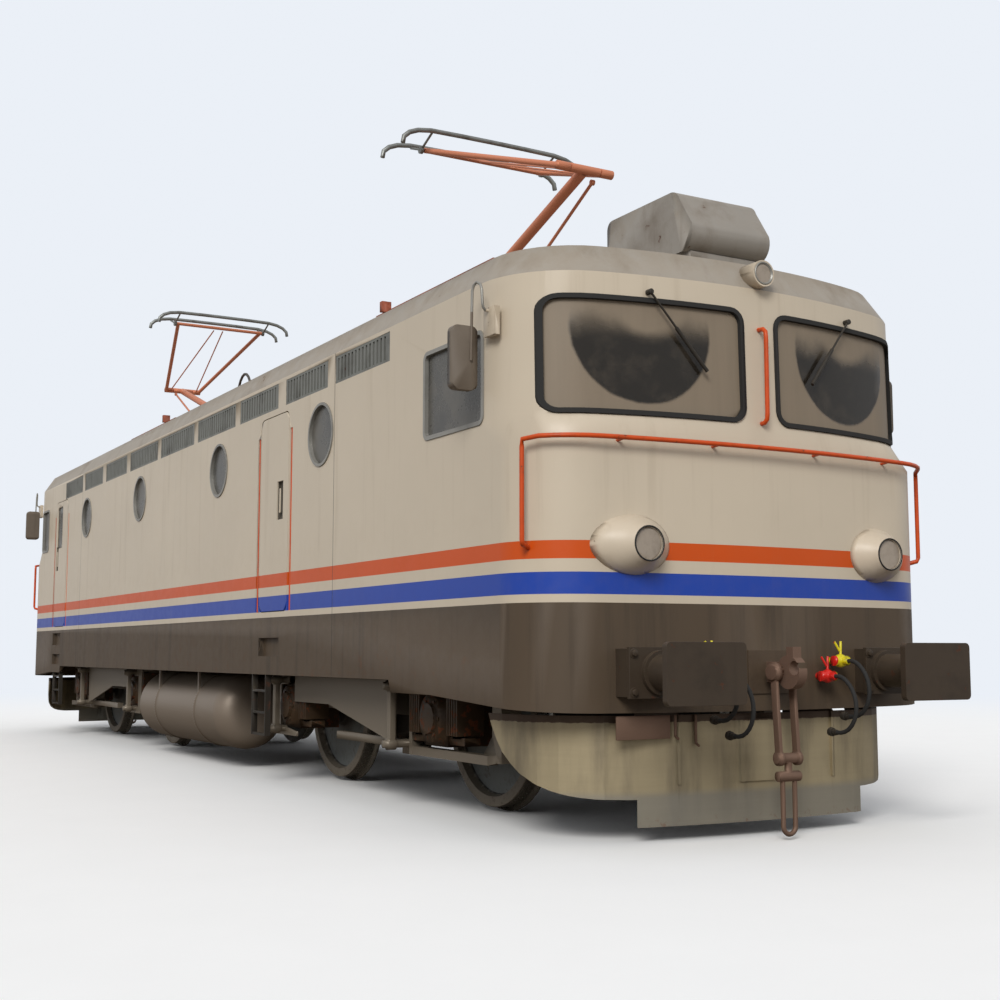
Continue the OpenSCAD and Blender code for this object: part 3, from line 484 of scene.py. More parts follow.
@dataclass(frozen=True)
class SweptGlass(Finish):
    """Windscreen glass caked with dust but for the crescents that the wiper blades sweep."""

    film: Colour = tone(134, 121, 104)
    tint: Colour = tone(40, 36, 31)
    pivot: float = 0.795
    lean: float = 0.02
    sweep_z: float = 3.03
    sweep: float = 0.45
    hub_z: float = 3.27
    hub: float = 0.225
    horns: float = 3.17

    def dress(self, graph: Graph) -> bpy.types.Material:
        """An outer circle less an inner one, both with smeared edges, for each pane of each end.

        Args:
            graph: Node tree that is filled.

        Returns:
            The finished material.
        """
        place = graph.place()
        x, y, z = graph.parts(place)
        across = y * x.math("SIGN", x)
        smear = graph.noise(place, 5.0, 5.0)
        fine = graph.noise(place, 70.0, 6.0)
        waver = (smear - 0.5) * 0.10
        side = across.above(-0.001, 0.001) * (2.0 * self.pivot) - self.pivot
        outer = graph.distance(across - side + self.lean, z - self.sweep_z) + waver * 0.25
        inner = graph.distance(across - side - self.lean, z - self.hub_z) + waver
        clear = outer.below(self.sweep - 0.012, self.sweep + 0.012)
        clear = clear * inner.above(self.hub, self.hub + 0.09)
        clear = clear * (z + waver * 1.6).below(self.horns - 0.22, self.horns)
        clear = clear * (smear.above(0.30, 0.50) * 0.10 + 0.90)
        dust = 1.0 - clear
        streaks = graph.noise(graph.stretched(place, (1.0, 14.0, 0.8)), 1.0, 5.0)
        colour = graph.shade(self.film, streaks * 0.20 + 0.88)
        colour = graph.mix(self.tint, colour, dust)
        return graph.finish(
            Base_Color=colour,
            Roughness=dust * 0.42 + fine * 0.06 + 0.10,
            Alpha=dust * 0.13 + 0.86,
            Normal=graph.relief(fine * dust, 0.0008, 0.4),
            Specular_IOR_Level=0.45,
        )


@dataclass(frozen=True)
class Rubber(Finish):
    """Black rubber, dulled by age."""

    colour: Colour = tone(22, 22, 22)
    bloom: float = 0.25

    def dress(self, graph: Graph) -> bpy.types.Material:
        """A grey bloom in patches over fine grain.

        Args:
            graph: Node tree that is filled.

        Returns:
            The finished material.
        """
        place = graph.place()
        patches = graph.noise(place, 7.0, 6.0)
        grain = graph.noise(place, 160.0, 4.0)
        colour = graph.mix(self.colour, tone(86, 80, 72), patches.above(0.45, 0.80) * self.bloom)
        return graph.finish(
            Base_Color=colour,
            Roughness=patches * 0.25 + 0.40,
            Normal=graph.relief(grain, 0.0006, 0.5),
            Specular_IOR_Level=0.2,
        )


@dataclass(frozen=True)
class PloughSheet(Finish):
    """Bare plough sheet, yellowed above, scoured grey along the blade."""

    sheet: Colour = tone(170, 157, 128)
    scoured: Colour = tone(142, 139, 130)
    stain: Colour = tone(104, 96, 82)
    blade_top: float = 0.28
    strip_z: float = 0.700
    hang: float = 0.90

    def dress(self, graph: Graph) -> bpy.types.Material:
        """Long runs of stain, rust under the frame and a scoured blade.

        Args:
            graph: Node tree that is filled.

        Returns:
            The finished material.
        """
        place = graph.place()
        _, _, z = graph.parts(place)
        runs = graph.noise(graph.stretched(place, (3.0, 3.0, 0.55)), 1.0, 6.0)
        fine = graph.noise(place, 22.0, 9.0)
        rubs = graph.noise(graph.stretched(place, (1.5, 1.5, 26.0)), 1.0, 5.0)
        colour = graph.mix(self.sheet, self.stain, runs.above(0.42, 0.70) * 0.75)
        colour = graph.mix(colour, self.scoured, z.below(self.blade_top - 0.03, self.blade_top + 0.03) * 0.8)
        colour = graph.shade(colour, rubs * 0.16 + 0.92)
        rusty = fine.above(0.56, 0.66) * (z.above(0.66, self.hang) * 0.8 + z.below(0.09, 0.16) * 0.5)
        colour = graph.mix(colour, RUST, rusty)
        strip = (z + fine * 0.02).above(self.strip_z, self.strip_z + 0.006)
        colour = graph.mix(colour, DARK_RUST, strip * 0.9)
        return graph.finish(
            Base_Color=colour,
            Roughness=fine * 0.20 + rusty * 0.30 + 0.36,
            Metallic=(1.0 - rusty) * 0.45,
            Normal=graph.relief(runs * 0.7 + rubs * 0.3, 0.004, 0.5),
        )


@dataclass(frozen=True)
class WheelSteel(Finish):
    """Painted wheel web inside a rolled steel tyre."""

    axle_x: float
    axle_z: float = 0.653
    web: Colour = tone(96, 101, 100)
    rim: Colour = tone(112, 104, 92)
    bright: Colour = tone(150, 148, 142)

    def dress(self, graph: Graph) -> bpy.types.Material:
        """Rings by radius: oily hub, blue-grey web, dusty rim, bright running tread.

        Args:
            graph: Node tree that is filled.

        Returns:
            The finished material.
        """
        place = graph.place()
        x, y, z = graph.parts(place)
        radius = graph.distance(x - self.axle_x, z - self.axle_z)
        patches = graph.noise(place, 3.0, 6.0)
        fine = graph.noise(place, 30.0, 9.0)
        colour = graph.mix(SOOT_AND_SHADE, self.web, radius.above(0.17, 0.30))
        colour = graph.mix(colour, self.rim, radius.above(0.532, 0.540))
        colour = graph.mix(colour, DARK_RUST, fine.above(0.50, 0.66) * patches.above(0.40, 0.60) * 0.55)
        line = graph.within(radius, 0.529, 0.537, 0.002)
        colour = graph.mix(colour, SOOT_AND_SHADE, line * 0.9)
        tread = radius.above(0.617, 0.622) * graph.within(abs(y), 0.70, 0.805, 0.006)
        colour = graph.mix(colour, self.bright, tread)
        return graph.finish(
            Base_Color=colour,
            Roughness=fine * 0.24 + 0.42 - tread * 0.26,
            Metallic=tread * 0.9 + 0.05,
            Normal=graph.relief(fine, 0.001, 0.4),
        )


@dataclass(frozen=True)
class FrostedLens(Finish):
    """Pressed lamp glass with upright flutes."""

    colour: Colour = tone(160, 148, 134)
    flute: float = 0.011

    def dress(self, graph: Graph) -> bpy.types.Material:
        """Flutes across the lens and darker dust in patches.

        Args:
            graph: Node tree that is filled.

        Returns:
            The finished material.
        """
        place = graph.place()
        _, y, _ = graph.parts(place)
        turn = y * (2.0 * math.pi / self.flute)
        wave = turn.math("SINE", turn)
        patches = graph.noise(place, 12.0, 5.0)
        colour = graph.mix(self.colour, tone(128, 116, 102), patches.above(0.40, 0.75) * 0.6)
        return graph.finish(
            Base_Color=graph.shade(colour, wave * 0.02 + 0.98),
            Roughness=patches * 0.20 + 0.10,
            Normal=graph.relief(wave, 0.0006, 0.4),
            Coat_Weight=0.4,
        )


@dataclass(frozen=True)
class StackPaint(Finish):
    """Roof gear: porcelain stacks below, painted steel above."""

    metal: Colour = tone(158, 82, 58)
    porcelain: Colour = tone(92, 62, 50)
    change: float = 3.915

    def dress(self, graph: Graph) -> bpy.types.Material:
        """Glazed brown between the roof and the frame, chipped orange-red paint elsewhere.

        Args:
            graph: Node tree that is filled.

        Returns:
            The finished material.
        """
        place = graph.place()
        _, _, z = graph.parts(place)
        patches = graph.noise(place, 3.5, 7.0)
        fine = graph.noise(place, 16.0, 10.0)
        steel = z.above(self.change - 0.004, self.change + 0.004)
        colour = graph.mix(self.metal, DARK_RUST, patches.above(0.45, 0.66) * 0.55)
        colour = graph.mix(colour, RUST, fine.above(0.54, 0.64) * 0.6)
        glaze = graph.shade(self.porcelain, patches * 0.4 + 0.8)
        glaze = graph.mix(glaze, ROAD_DUST, graph.upward().above(0.2, 0.9) * 0.6)
        return graph.finish(
            Base_Color=graph.mix(glaze, colour, steel),
            Roughness=steel * (fine * 0.25 + 0.28) + 0.22,
            Normal=graph.relief(fine * steel, 0.0015, 0.5),
        )


@dataclass(frozen=True)
class CockPaint(Finish):
    """Bright enamel on the brake cocks, yellow outside and red inside."""

    yellow: Colour = tone(214, 200, 30)
    red: Colour = tone(205, 32, 24)
    change: float = 0.455

    def dress(self, graph: Graph) -> bpy.types.Material:
        """Enamel by place across the end, with grease in patches.

        Args:
            graph: Node tree that is filled.

        Returns:
            The finished material.
        """
        place = graph.place()
        _, y, z = graph.parts(place)
        grease = graph.noise(place, 24.0, 8.0)
        split = abs(y) - (z - 1.02) * 0.12
        colour = graph.mix(self.red, self.yellow, split.above(self.change - 0.002, self.change + 0.002))
        colour = graph.mix(colour, SOOT_AND_SHADE, grease.above(0.56, 0.74) * 0.7)
        return graph.finish(
            Base_Color=colour,
            Roughness=grease * 0.30 + 0.20,
            Normal=graph.relief(grease, 0.0008, 0.4),
        )


@dataclass(frozen=True)
class StripMetal(Finish):
    """Grey collector strips, scored along the track by the wire."""

    colour: Colour = tone(140, 143, 141)
    score_z: float = 5.44

    def dress(self, graph: Graph) -> bpy.types.Material:
        """Fine scores on top, old grease and dust below.

        Args:
            graph: Node tree that is filled.

        Returns:
            The finished material.
        """
        place = graph.place()
        _, _, z = graph.parts(place)
        scores = graph.noise(graph.stretched(place, (2.0, 160.0, 2.0)), 1.0, 4.0)
        patches = graph.noise(place, 5.0, 7.0)
        worn = z.above(self.score_z, self.score_z + 0.01)
        colour = graph.mix(self.colour, tone(92, 86, 80), patches.above(0.42, 0.70) * 0.7)
        colour = graph.mix(colour, tone(74, 70, 68), worn * scores.above(0.45, 0.70) * 0.8)
        return graph.finish(
            Base_Color=colour,
            Roughness=patches * 0.25 + 0.32,
            Metallic=0.55,
            Normal=graph.relief(scores, 0.0008, 0.5),
        )


class Palette:
    """The finishes of this locomotive."""

    livery = LiveryPaint("livery_paint")
    band = WeatheredPaint("band_paint", tone(84, 71, 58), tone(50, 42, 34), 0.15, 0.2, 0.45)
    interior = WeatheredPaint("cab_lining", tone(52, 54, 52), SOOT_AND_SHADE, 0.0, 0.2, 0.7)
    roof = WeatheredPaint("roof_paint", tone(160, 153, 143), tone(120, 110, 98), 0.05, 0.35, 0.5, 7.0)
    cooler = WeatheredPaint("cooler_paint", tone(146, 141, 134), tone(102, 90, 76), 0.12, 0.25, 0.42)
    pod = WeatheredPaint("pod_paint", tone(206, 193, 174), tone(160, 146, 124), 0.05, 0.15, 0.36)
    rail = WeatheredPaint("rail_paint", tone(208, 80, 30), tone(150, 62, 30), 0.22, 0.05, 0.34, 30.0)
    frame_metal = WeatheredPaint(
        "pale_frame", tone(150, 149, 144), tone(98, 96, 92), 0.02, 0.1, 0.38, metal=0.3
    )
    grille = WeatheredPaint("grille_paint", tone(120, 122, 118), tone(60, 58, 54), 0.05, 0.3, 0.5)
    dark = WeatheredPaint("dark_paint", tone(50, 46, 41), SOOT_AND_SHADE, 0.25, 0.12, 0.5)
    mirror = WeatheredPaint("mirror_paint", tone(112, 102, 91), tone(70, 62, 54), 0.05, 0.2, 0.45)
    buffer = WeatheredPaint("buffer_paint", tone(66, 56, 46), tone(42, 36, 30), 0.22, 0.12, 0.42)
    tank = WeatheredPaint("tank_paint", tone(72, 58, 43), tone(50, 38, 28), 0.05, 0.10, 0.22, 5.0, coat=0.35)
    bogie = WeatheredPaint("bogie_paint", tone(66, 53, 38), tone(40, 32, 24), 0.30, 0.15, 0.50)
    box = WeatheredPaint("axle_box_paint", tone(70, 54, 38), tone(44, 33, 24), 0.55, 0.15, 0.5, 18.0)
    arm = WeatheredPaint("arm_paint", tone(128, 66, 48), tone(66, 48, 42), 0.45, 0.10, 0.50, 16.0)
    steel = RustySteel("rusty_steel")
    side_glass = DirtyGlass("side_glass")
    windscreen = SweptGlass("windscreen_glass")
    seal = Rubber("seal_rubber", tone(9, 9, 9), 0.05)
    hose = Rubber("hose_rubber", tone(10, 10, 10), 0.05)
    plough = PloughSheet("plough_sheet")
    lens = FrostedLens("lamp_glass")
    stacks = StackPaint("roof_stacks")
    busbar = StackPaint("busbar_stacks", tone(74, 70, 66), tone(96, 66, 54), 3.925)
    cock = CockPaint("cock_enamel")
    strip = StripMetal("collector_strips")


# ---------- modelling ----------
class Workbench:
    """Modelling steps that the sub-assemblies share."""

    frame: dict = {}

    @classmethod
    def body(cls, node: str) -> str:
        """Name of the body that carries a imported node."""
        bodies = cls.frame["record"]["behaviour"]["bodies"]
        return next(body for body, nodes in bodies.items() if node in nodes)

    @staticmethod
    def clear() -> None:
        """Leaves nothing selected."""
        bpy.ops.object.select_all(action="DESELECT")

    @staticmethod
    def focus(piece: bpy.types.Object) -> None:
        """Makes one piece the only selected and the active one.

        Args:
            piece: The piece.
        """
        Workbench.clear()
        piece.select_set(True)
        bpy.context.view_layer.objects.active = piece

    @staticmethod
    def settle(piece: bpy.types.Object, angle: float = 35.0) -> bpy.types.Object:
        """Moves a piece's place into its mesh and smooths it below an angle in degrees.

        Args:
            piece: The piece.
            angle: Edges that turn less than this are smoothed.

        Returns:
            The same piece.
        """
        Workbench.focus(piece)
        bpy.ops.object.transform_apply(location=True, rotation=True, scale=True)
        bpy.ops.object.shade_smooth_by_angle(angle=math.radians(angle))
        return piece

    @staticmethod
    def modify(piece: bpy.types.Object, kind: str, **settings: object) -> None:
        """Adds a modifier with its settings and applies it.

        Args:
            piece: The piece.
            kind: Kind of modifier.
            settings: Its properties.
        """
        Workbench.focus(piece)
        modifier = piece.modifiers.new("step", kind)
        for key, value in settings.items():
            setattr(modifier, key, value)
        bpy.ops.object.modifier_apply(modifier=modifier.name)

    @staticmethod
    def block(name: str, low: Point, high: Point, edge: float = 0.004) -> bpy.types.Object:
        """A block between two corners with its edges eased.

        Args:
            name: Name of the piece.
            low: Lowest corner.
            high: Highest corner.
            edge: Width of the easing.

        Returns:
            The block, settled.
        """
        Workbench.clear()
        middle = [(a + b) / 2.0 for a, b in zip(low, high)]
        size = [b - a for a, b in zip(low, high)]
        bpy.ops.mesh.primitive_cube_add(size=1.0, location=middle, scale=size)
        piece = bpy.context.active_object
        piece.name = name
        bpy.ops.object.transform_apply(location=True, rotation=True, scale=True)
        bpy.ops.object.mode_set(mode="EDIT")
        bpy.ops.mesh.select_all(action="SELECT")
        bpy.ops.mesh.bevel(offset=edge, segments=2, affect="EDGES")
        bpy.ops.object.mode_set(mode="OBJECT")
        return Workbench.settle(piece)

    @staticmethod
    def rod(
        name: str,
        start: Point,
        end: Point,
        radius: float,
        sides: int = 24,
        edge: float = 0.002,
    ) -> bpy.types.Object:
        """A round bar between two points with its end edges eased.

        Args:
            name: Name of the piece.
            start, end: Middles of its two ends.
            radius: Its radius.
            sides: Facets round it; six make a bolt head.
            edge: Width of the easing.

        Returns:
            The bar, settled.
        """
        Workbench.clear()
        along = Vector(end) - Vector(start)
        turn = along.to_track_quat("Z", "Y").to_euler()
        bpy.ops.mesh.primitive_cylinder_add(
            vertices=sides,
            radius=radius,
            depth=along.length,
            location=(Vector(start) + Vector(end)) / 2.0,
            rotation=turn,
        )
        piece = bpy.context.active_object
        piece.name = name
        bpy.ops.object.transform_apply(location=True, rotation=True, scale=True)
        Workbench.modify(piece, "BEVEL", width=edge, segments=2, limit_method="ANGLE", angle_limit=0.9)
        return Workbench.settle(piece)

    @staticmethod
    def ring(name: str, middle: Point, along: Point, radius: float, thickness: float) -> bpy.types.Object:
        """A round ring about a direction, its inner half drawn in to a lip.

        Args:
            name: Name of the piece.
            middle: Middle of the ring.
            along: Direction of its axis.
            radius: Radius to the middle of its section.
            thickness: Radius of its section.

        Returns:
            The ring, settled.
        """
        Workbench.clear()
        turn = Vector(along).to_track_quat("Z", "Y").to_euler()
        bpy.ops.mesh.primitive_torus_add(
            major_radius=radius,
            minor_radius=thickness,
            major_segments=64,
            minor_segments=14,
            location=middle,
            rotation=turn,
        )
        piece = bpy.context.active_object
        piece.name = name
        bpy.ops.object.transform_apply(location=True, rotation=True, scale=True)
        bpy.ops.object.mode_set(mode="EDIT")
        bpy.ops.mesh.select_all(action="DESELECT")
        bpy.ops.object.mode_set(mode="OBJECT")
        axis = Vector(along).normalized()
        for vertex in piece.data.vertices:
            offset = vertex.co - Vector(middle)
            flat = offset - axis * offset.dot(axis)
            vertex.select = flat.length < radius
        bpy.ops.object.mode_set(mode="EDIT")
        bpy.ops.transform.translate(value=axis * (-0.5 * thickness))
        bpy.ops.object.mode_set(mode="OBJECT")
        return Workbench.settle(piece)

    @staticmethod
    def copies(piece: bpy.types.Object, moves: list[Matrix], name: str) -> bpy.types.Object:
        """One piece made of copies of another, each with its own mesh.

        Args:
            piece: The piece that is repeated; it is used up.
            moves: Where each copy goes, from where the piece stands.
            name: Name of the result.

        Returns:
            The joined piece.
        """
        made = []
        for move in moves:
            mesh = piece.data.copy()
            mesh.transform(move)
            copy = bpy.data.objects.new(name, mesh)
            bpy.context.scene.collection.objects.link(copy)
            made.append(copy)
        bpy.data.objects.remove(piece)
        return Workbench.joined(made, name)

    @staticmethod
    def joined(pieces: list[bpy.types.Object], name: str) -> bpy.types.Object:
        """Several pieces joined into one.

        Args:
            pieces: What is joined; all are used up.
            name: Name of the result.

        Returns:
            The joined piece.
        """
        Workbench.clear()
        for piece in pieces:
            piece.select_set(True)
        bpy.context.view_layer.objects.active = pieces[0]
        if len(pieces) > 1:
            bpy.ops.object.join()
        joined = bpy.context.active_object
        joined.name = name
        return joined

    @staticmethod
    def fit(piece: bpy.types.Object, finish: Finish, body: str, slot: str) -> bpy.types.Object:
        """Gives a piece its finish and its body, and reports it.

        Args:
            piece: The piece.
            finish: Its finish.
            body: The body that carries it.
            slot: Its material slot; not used.

        Returns:
            The same piece.
        """
        piece.data.materials.clear()
        piece.data.materials.append(finish.make())
        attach(piece, body)
        LOG.info("%s: %s on %s", piece.name, finish.name, body)
        return piece

    @staticmethod
    def drop(piece: bpy.types.Object, chosen: Callable[[bpy.types.MeshPolygon], bool]) -> None:
        """Takes the chosen faces of a piece away.

        Args:
            piece: The piece.
            chosen: Says of a face whether it goes.
        """
        Workbench.focus(piece)
        bpy.ops.object.mode_set(mode="EDIT")
        bpy.ops.mesh.select_mode(type="FACE")
        bpy.ops.mesh.select_all(action="DESELECT")
        bpy.ops.object.mode_set(mode="OBJECT")
        for face in piece.data.polygons:
            face.select = chosen(face)
        bpy.ops.object.mode_set(mode="EDIT")
        bpy.ops.mesh.delete(type="FACE")
        bpy.ops.object.mode_set(mode="OBJECT")

    @staticmethod
    def repaint(
        piece: bpy.types.Object,
        finish: Finish,
        chosen: Callable[[bpy.types.MeshPolygon], bool],
    ) -> None:
        """Gives the chosen faces of a piece another finish.

        Args:
            piece: The piece.
            finish: The finish of the chosen faces.
            chosen: Says of a face whether it is one of them.
        """
        piece.data.materials.append(finish.make())
        slot = len(piece.data.materials) - 1
        for face in piece.data.polygons:
            if chosen(face):
                face.material_index = slot


@dataclass(frozen=True)
class CarriedNode:
    """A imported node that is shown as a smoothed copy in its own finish."""

    node: str
    finish: Finish
    slot: str
    angle: float = 32.0
    ease: float = 0.0
    flat: bool = True

    def build(self) -> bpy.types.Object:
        """Copies the node's mesh, closes its seams, eases its edges and smooths it.

        Returns:
            The piece that stands for the node.
        """
        mesh = Workbench.frame["nodes"][self.node].data.copy()
        piece = bpy.data.objects.new(f"{self.node}_finish", mesh)
        bpy.context.scene.collection.objects.link(piece)
        Workbench.focus(piece)
        bpy.ops.object.mode_set(mode="EDIT")
        bpy.ops.mesh.select_all(action="SELECT")
        bpy.ops.mesh.remove_doubles(threshold=0.00002)
        if self.ease:
            bpy.ops.mesh.dissolve_limited(angle_limit=math.radians(0.5))
        bpy.ops.object.mode_set(mode="OBJECT")
        if self.ease:
            Workbench.modify(
                piece,
                "BEVEL",
                width=self.ease,
                segments=2,
                limit_method="ANGLE",
                angle_limit=math.radians(40.0),
                use_clamp_overlap=True,
            )
        Workbench.settle(piece, self.angle)
        if self.flat:
            Workbench.modify(piece, "WEIGHTED_NORMAL", weight=90, keep_sharp=True)
        Workbench.fit(piece, self.finish, Workbench.body(self.node), self.slot)
        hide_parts(self.node)
        return piece


# ---------- sub-assemblies ----------
@dataclass
class Studio:
    """Camera, floor, background and soft lamps."""

    eye: Point = (13.782, -5.603, 1.109)
    tilt: float = 96.231
    heading: float = 60.463
    lens: float = 49.87
    backdrop: Colour = (0.83, 0.87, 0.93)
    floor: Colour = (0.95, 0.96, 0.97)
    earth: Colour = (0.20, 0.17, 0.14)
    world_level: float = 0.62
    key_level: float = 2.0
    key_from: Point = (15.0, -13.0, 13.0)
    fade: tuple[float, float] = (9.0, 26.0)

    def camera(self) -> None:
        """Sets up the camera."""
        data = bpy.data.cameras.new("camera")
        data.lens = self.lens
        data.sensor_width = 36.0
        data.clip_end = 400.0
        camera = bpy.data.objects.new("camera", data)
        camera.location = self.eye
        camera.rotation_euler = (math.radians(self.tilt), 0.0, math.radians(self.heading))
        bpy.context.scene.collection.objects.link(camera)
        bpy.context.scene.camera = camera

    def ground(self) -> None:
        """Lays the floor, which fades into the backdrop far off."""
        Workbench.clear()
        bpy.ops.mesh.primitive_plane_add(size=300.0, location=(0.0, 0.0, 0.0))
        floor = bpy.context.active_object
        floor.name = "floor"
        graph = Graph("floor")
        place = graph.place()
        x, y, _ = graph.parts(place)
        far = graph.distance(x, y).above(*self.fade)
        seen = graph.node("ShaderNodeLightPath", output="Is Camera Ray")
        glow = graph.node("ShaderNodeEmission", values={"Color": (*self.backdrop, 1.0), "Strength": 1.0})
        plain = Socket(graph, graph.shader.outputs[0])
        blend = graph.node("ShaderNodeMixShader", values={0: far * seen, 1: plain, 2: glow})
        output = graph.tree.nodes["Material Output"]
        graph.tree.links.new(blend.link, output.inputs["Surface"])
        speck = graph.noise(place, 1.5, 3.0)
        colour = graph.mix(self.earth, graph.shade(self.floor, speck * 0.04 + 0.98), seen)
        material = graph.finish(Base_Color=colour, Roughness=0.9, Specular_IOR_Level=0.1)
        floor.data.materials.append(material)

    def air(self) -> None:
        """Pale background for what sees it, soft plain light for the rest."""
        world = bpy.data.worlds.new("studio")
        bpy.context.scene.world = world
        world.use_nodes = True
        tree = world.node_tree
        light = tree.nodes["Background"]
        light.inputs["Color"].default_value = (0.97, 0.98, 1.0, 1.0)
        light.inputs["Strength"].default_value = self.world_level
        pale = tree.nodes.new("ShaderNodeBackground")
        pale.inputs["Color"].default_value = (*self.backdrop, 1.0)
        pale.inputs["Strength"].default_value = 1.0
        path = tree.nodes.new("ShaderNodeLightPath")
        blend = tree.nodes.new("ShaderNodeMixShader")
        tree.links.new(path.outputs["Is Camera Ray"], blend.inputs[0])
        tree.links.new(light.outputs[0], blend.inputs[1])
        tree.links.new(pale.outputs[0], blend.inputs[2])
        tree.links.new(blend.outputs[0], tree.nodes["World Output"].inputs["Surface"])

    def lamps(self) -> None:
        """Hangs one broad soft key lamp."""
        data = bpy.data.lights.new("key", "SUN")
        data.energy = self.key_level
        data.angle = math.radians(24.0)
        data.color = (1.0, 0.97, 0.92)
        key = bpy.data.objects.new("key", data)
        key.rotation_euler = Vector(self.key_from).to_track_quat("Z", "Y").to_euler()
        bpy.context.scene.collection.objects.link(key)

    def build(self) -> None:
        """Sets the whole stage."""
        self.camera()
        self.ground()
        self.air()
        self.lamps()
        bpy.context.scene.view_settings.view_transform = "Standard"


@dataclass
class BrakeHoses:
    """The eight hanging air hoses, each a fixed length from its cock to its coupling head."""

    cock_x: float = 7.360
    diameter: float = 0.026
    outlets: tuple[tuple[float, float], ...] = (
        (-0.505, 1.050),
        (-0.395, 0.957),
        (0.395, 0.957),
        (0.505, 1.050),
    )
    route: tuple[tuple[float, float], ...] = (
        (0.000, 0.000),
        (0.030, 0.000),
        (0.060, -0.008),
        (0.090, -0.025),
        (0.118, -0.050),
        (0.142, -0.080),
        (0.160, -0.115),
        (0.170, -0.152),
        (0.172, -0.190),
        (0.166, -0.227),
        (0.152, -0.262),
        (0.130, -0.293),
        (0.102, -0.317),
        (0.070, -0.333),
        (0.036, -0.340),
        (0.000, -0.340),
    )

    def path(self, end: End, outlet: tuple[float, float]) -> list[Vector]:
        """Points that one hose follows.

        Args:
            end: The end of the locomotive.
            outlet: Place across and height of its cock.

        Returns:
            The points in order.
        """
        across, height = outlet
        points = [Vector((self.cock_x + out, across, height + up)) for out, up in self.route]
        return [end.turn @ point for point in points]

    def hose(self, end: End, number: int) -> bpy.types.Object:
        """One hose as a curve along its path.

        Args:
            end: The end of the locomotive.
            number: The hose, from 1.

        Returns:
            The hose.
        """
        points = self.path(end, self.outlets[number - 1])
        node = f"hose_{end.word}_{number}"
        curve = bpy.data.curves.new(f"{node}_curve", "CURVE")
        curve.dimensions = "3D"
        curve.bevel_depth = self.diameter / 2.0
        curve.bevel_resolution = 5
        curve.resolution_u = 4
        curve.use_fill_caps = True
        line = curve.splines.new("POLY")
        line.points.add(len(points) - 1)
        for spot, point in zip(line.points, points):
            spot.co = (*point, 1.0)
        line.use_smooth = True
        hose = bpy.data.objects.new(f"{node}_rubber", curve)
        bpy.context.scene.collection.objects.link(hose)
        Workbench.fit(hose, Palette.hose, "carbody", "hose_rubber")
        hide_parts(node)
        self.head(points[-1], end, f"hose_head_{end.word}_{number}")
        return hose

    def head(self, start: Vector, end: End, name: str) -> bpy.types.Object:
        """The coupling head on a hose: a clip, a stepped body and its locking lug.

        Args:
            start: Where the hose ends.
            end: The end of the locomotive.
            name: Name of the piece.

        Returns:
            The head.
        """
        back = Vector((-end.value, 0.0, 0.0))
        up = Vector((0.0, 0.0, 1.0))
        clip = Workbench.rod(name, start - back * 0.004, start + back * 0.010, 0.0165)
        neck = Workbench.rod(name, start + back * 0.010, start + back * 0.034, 0.0190)
        body = Workbench.rod(name, start + back * 0.030, start + back * 0.061 + up * 0.004, 0.0265, 32, 0.004)
        lug = Workbench.rod(name, start + back * 0.048 + up * 0.024, start + back * 0.048 + up * 0.030, 0.009)
        head = Workbench.joined([clip, neck, body, lug], name)
        Workbench.fit(head, Palette.dark, "carbody", "dark_metal")
        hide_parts("hose_heads")
        return head

    def build(self) -> None:
        """Hangs every hose."""
        for end in End:
            for number in range(1, len(self.outlets) + 1):
                self.hose(end, number)


@dataclass
class BodyShell:
    """Cabs, side walls, roof, doors and what is fixed in their openings."""

    cab_middle: Point = (5.95, 0.0, 2.5)
    room_middle: Point = (0.0, 0.0, 2.5)
    lining_from: float = 1.40
    glass_nose: float = 6.7

    def inside(self, middle: Point) -> Callable[[bpy.types.MeshPolygon], bool]:
        """Test for faces that look into a hollow.

        Args:
            middle: Middle of the hollow.

        Returns:
            The test, which takes a face.
        """

        def test(face: bpy.types.MeshPolygon) -> bool:
            """Whether one face looks towards the hollow's middle line.

            Args:
                face: The face.

            Returns:
                Whether it does.
            """
            offset = Vector(middle) - face.center
            offset.x *= 0.25
            offset.z *= 0.25
            return face.normal.dot(offset.normalized()) > 0.35 and face.center.z > self.lining_from

        return test

    def build(self) -> None:
        """Dresses the shell."""
        for end in End:
            middle = end.turn @ Vector(self.cab_middle)
            cab = CarriedNode(f"cab_{end.word}", Palette.livery, "cream_paint", 40.0).build()
            Workbench.repaint(cab, Palette.interior, self.inside(middle))
            door = CarriedNode(f"cab_door_{end.word}", Palette.livery, "cream_paint").build()
            Workbench.repaint(door, Palette.side_glass, lambda face: self.is_door_glass(face))
        walls = CarriedNode("side_walls", Palette.livery, "cream_paint").build()
        Workbench.repaint(walls, Palette.interior, self.inside(self.room_middle))
        for side in ("right", "left"):
            CarriedNode(f"machine_door_{side}", Palette.livery, "cream_paint").build()
        CarriedNode("underframe", Palette.livery, "frame_band", 40.0).build()
        CarriedNode("roof", Palette.roof, "grey_paint", 40.0).build()
        CarriedNode("transformer_block", Palette.dark, "dark_metal").build()
        CarriedNode("cab_furniture", Palette.interior, "interior").build()
        CarriedNode("windscreen_seals", Palette.seal, "seal_rubber", 50.0).build()
        CarriedNode("window_frames", Palette.frame_metal, "pale_metal", 40.0).build()
        CarriedNode("side_grilles", Palette.grille, "grille_grey").build()
        CarriedNode("door_handrails", Palette.rail, "orange_paint", 50.0).build()
        CarriedNode("end_handrails", Palette.rail, "orange_paint", 50.0).build()
        glass = CarriedNode("window_glass", Palette.side_glass, "glass", 40.0).build()
        Workbench.repaint(glass, Palette.windscreen, lambda face: abs(face.center.x) > self.glass_nose)

    def is_door_glass(self, face: bpy.types.MeshPolygon) -> bool:
        """Whether a face of a cab door belongs to its pane."""
        low = 2.490 < face.center.z < 3.050 and 5.245 < abs(face.center.x) < 5.545
        return low and 1.545 < abs(face.center.y) < 1.5655


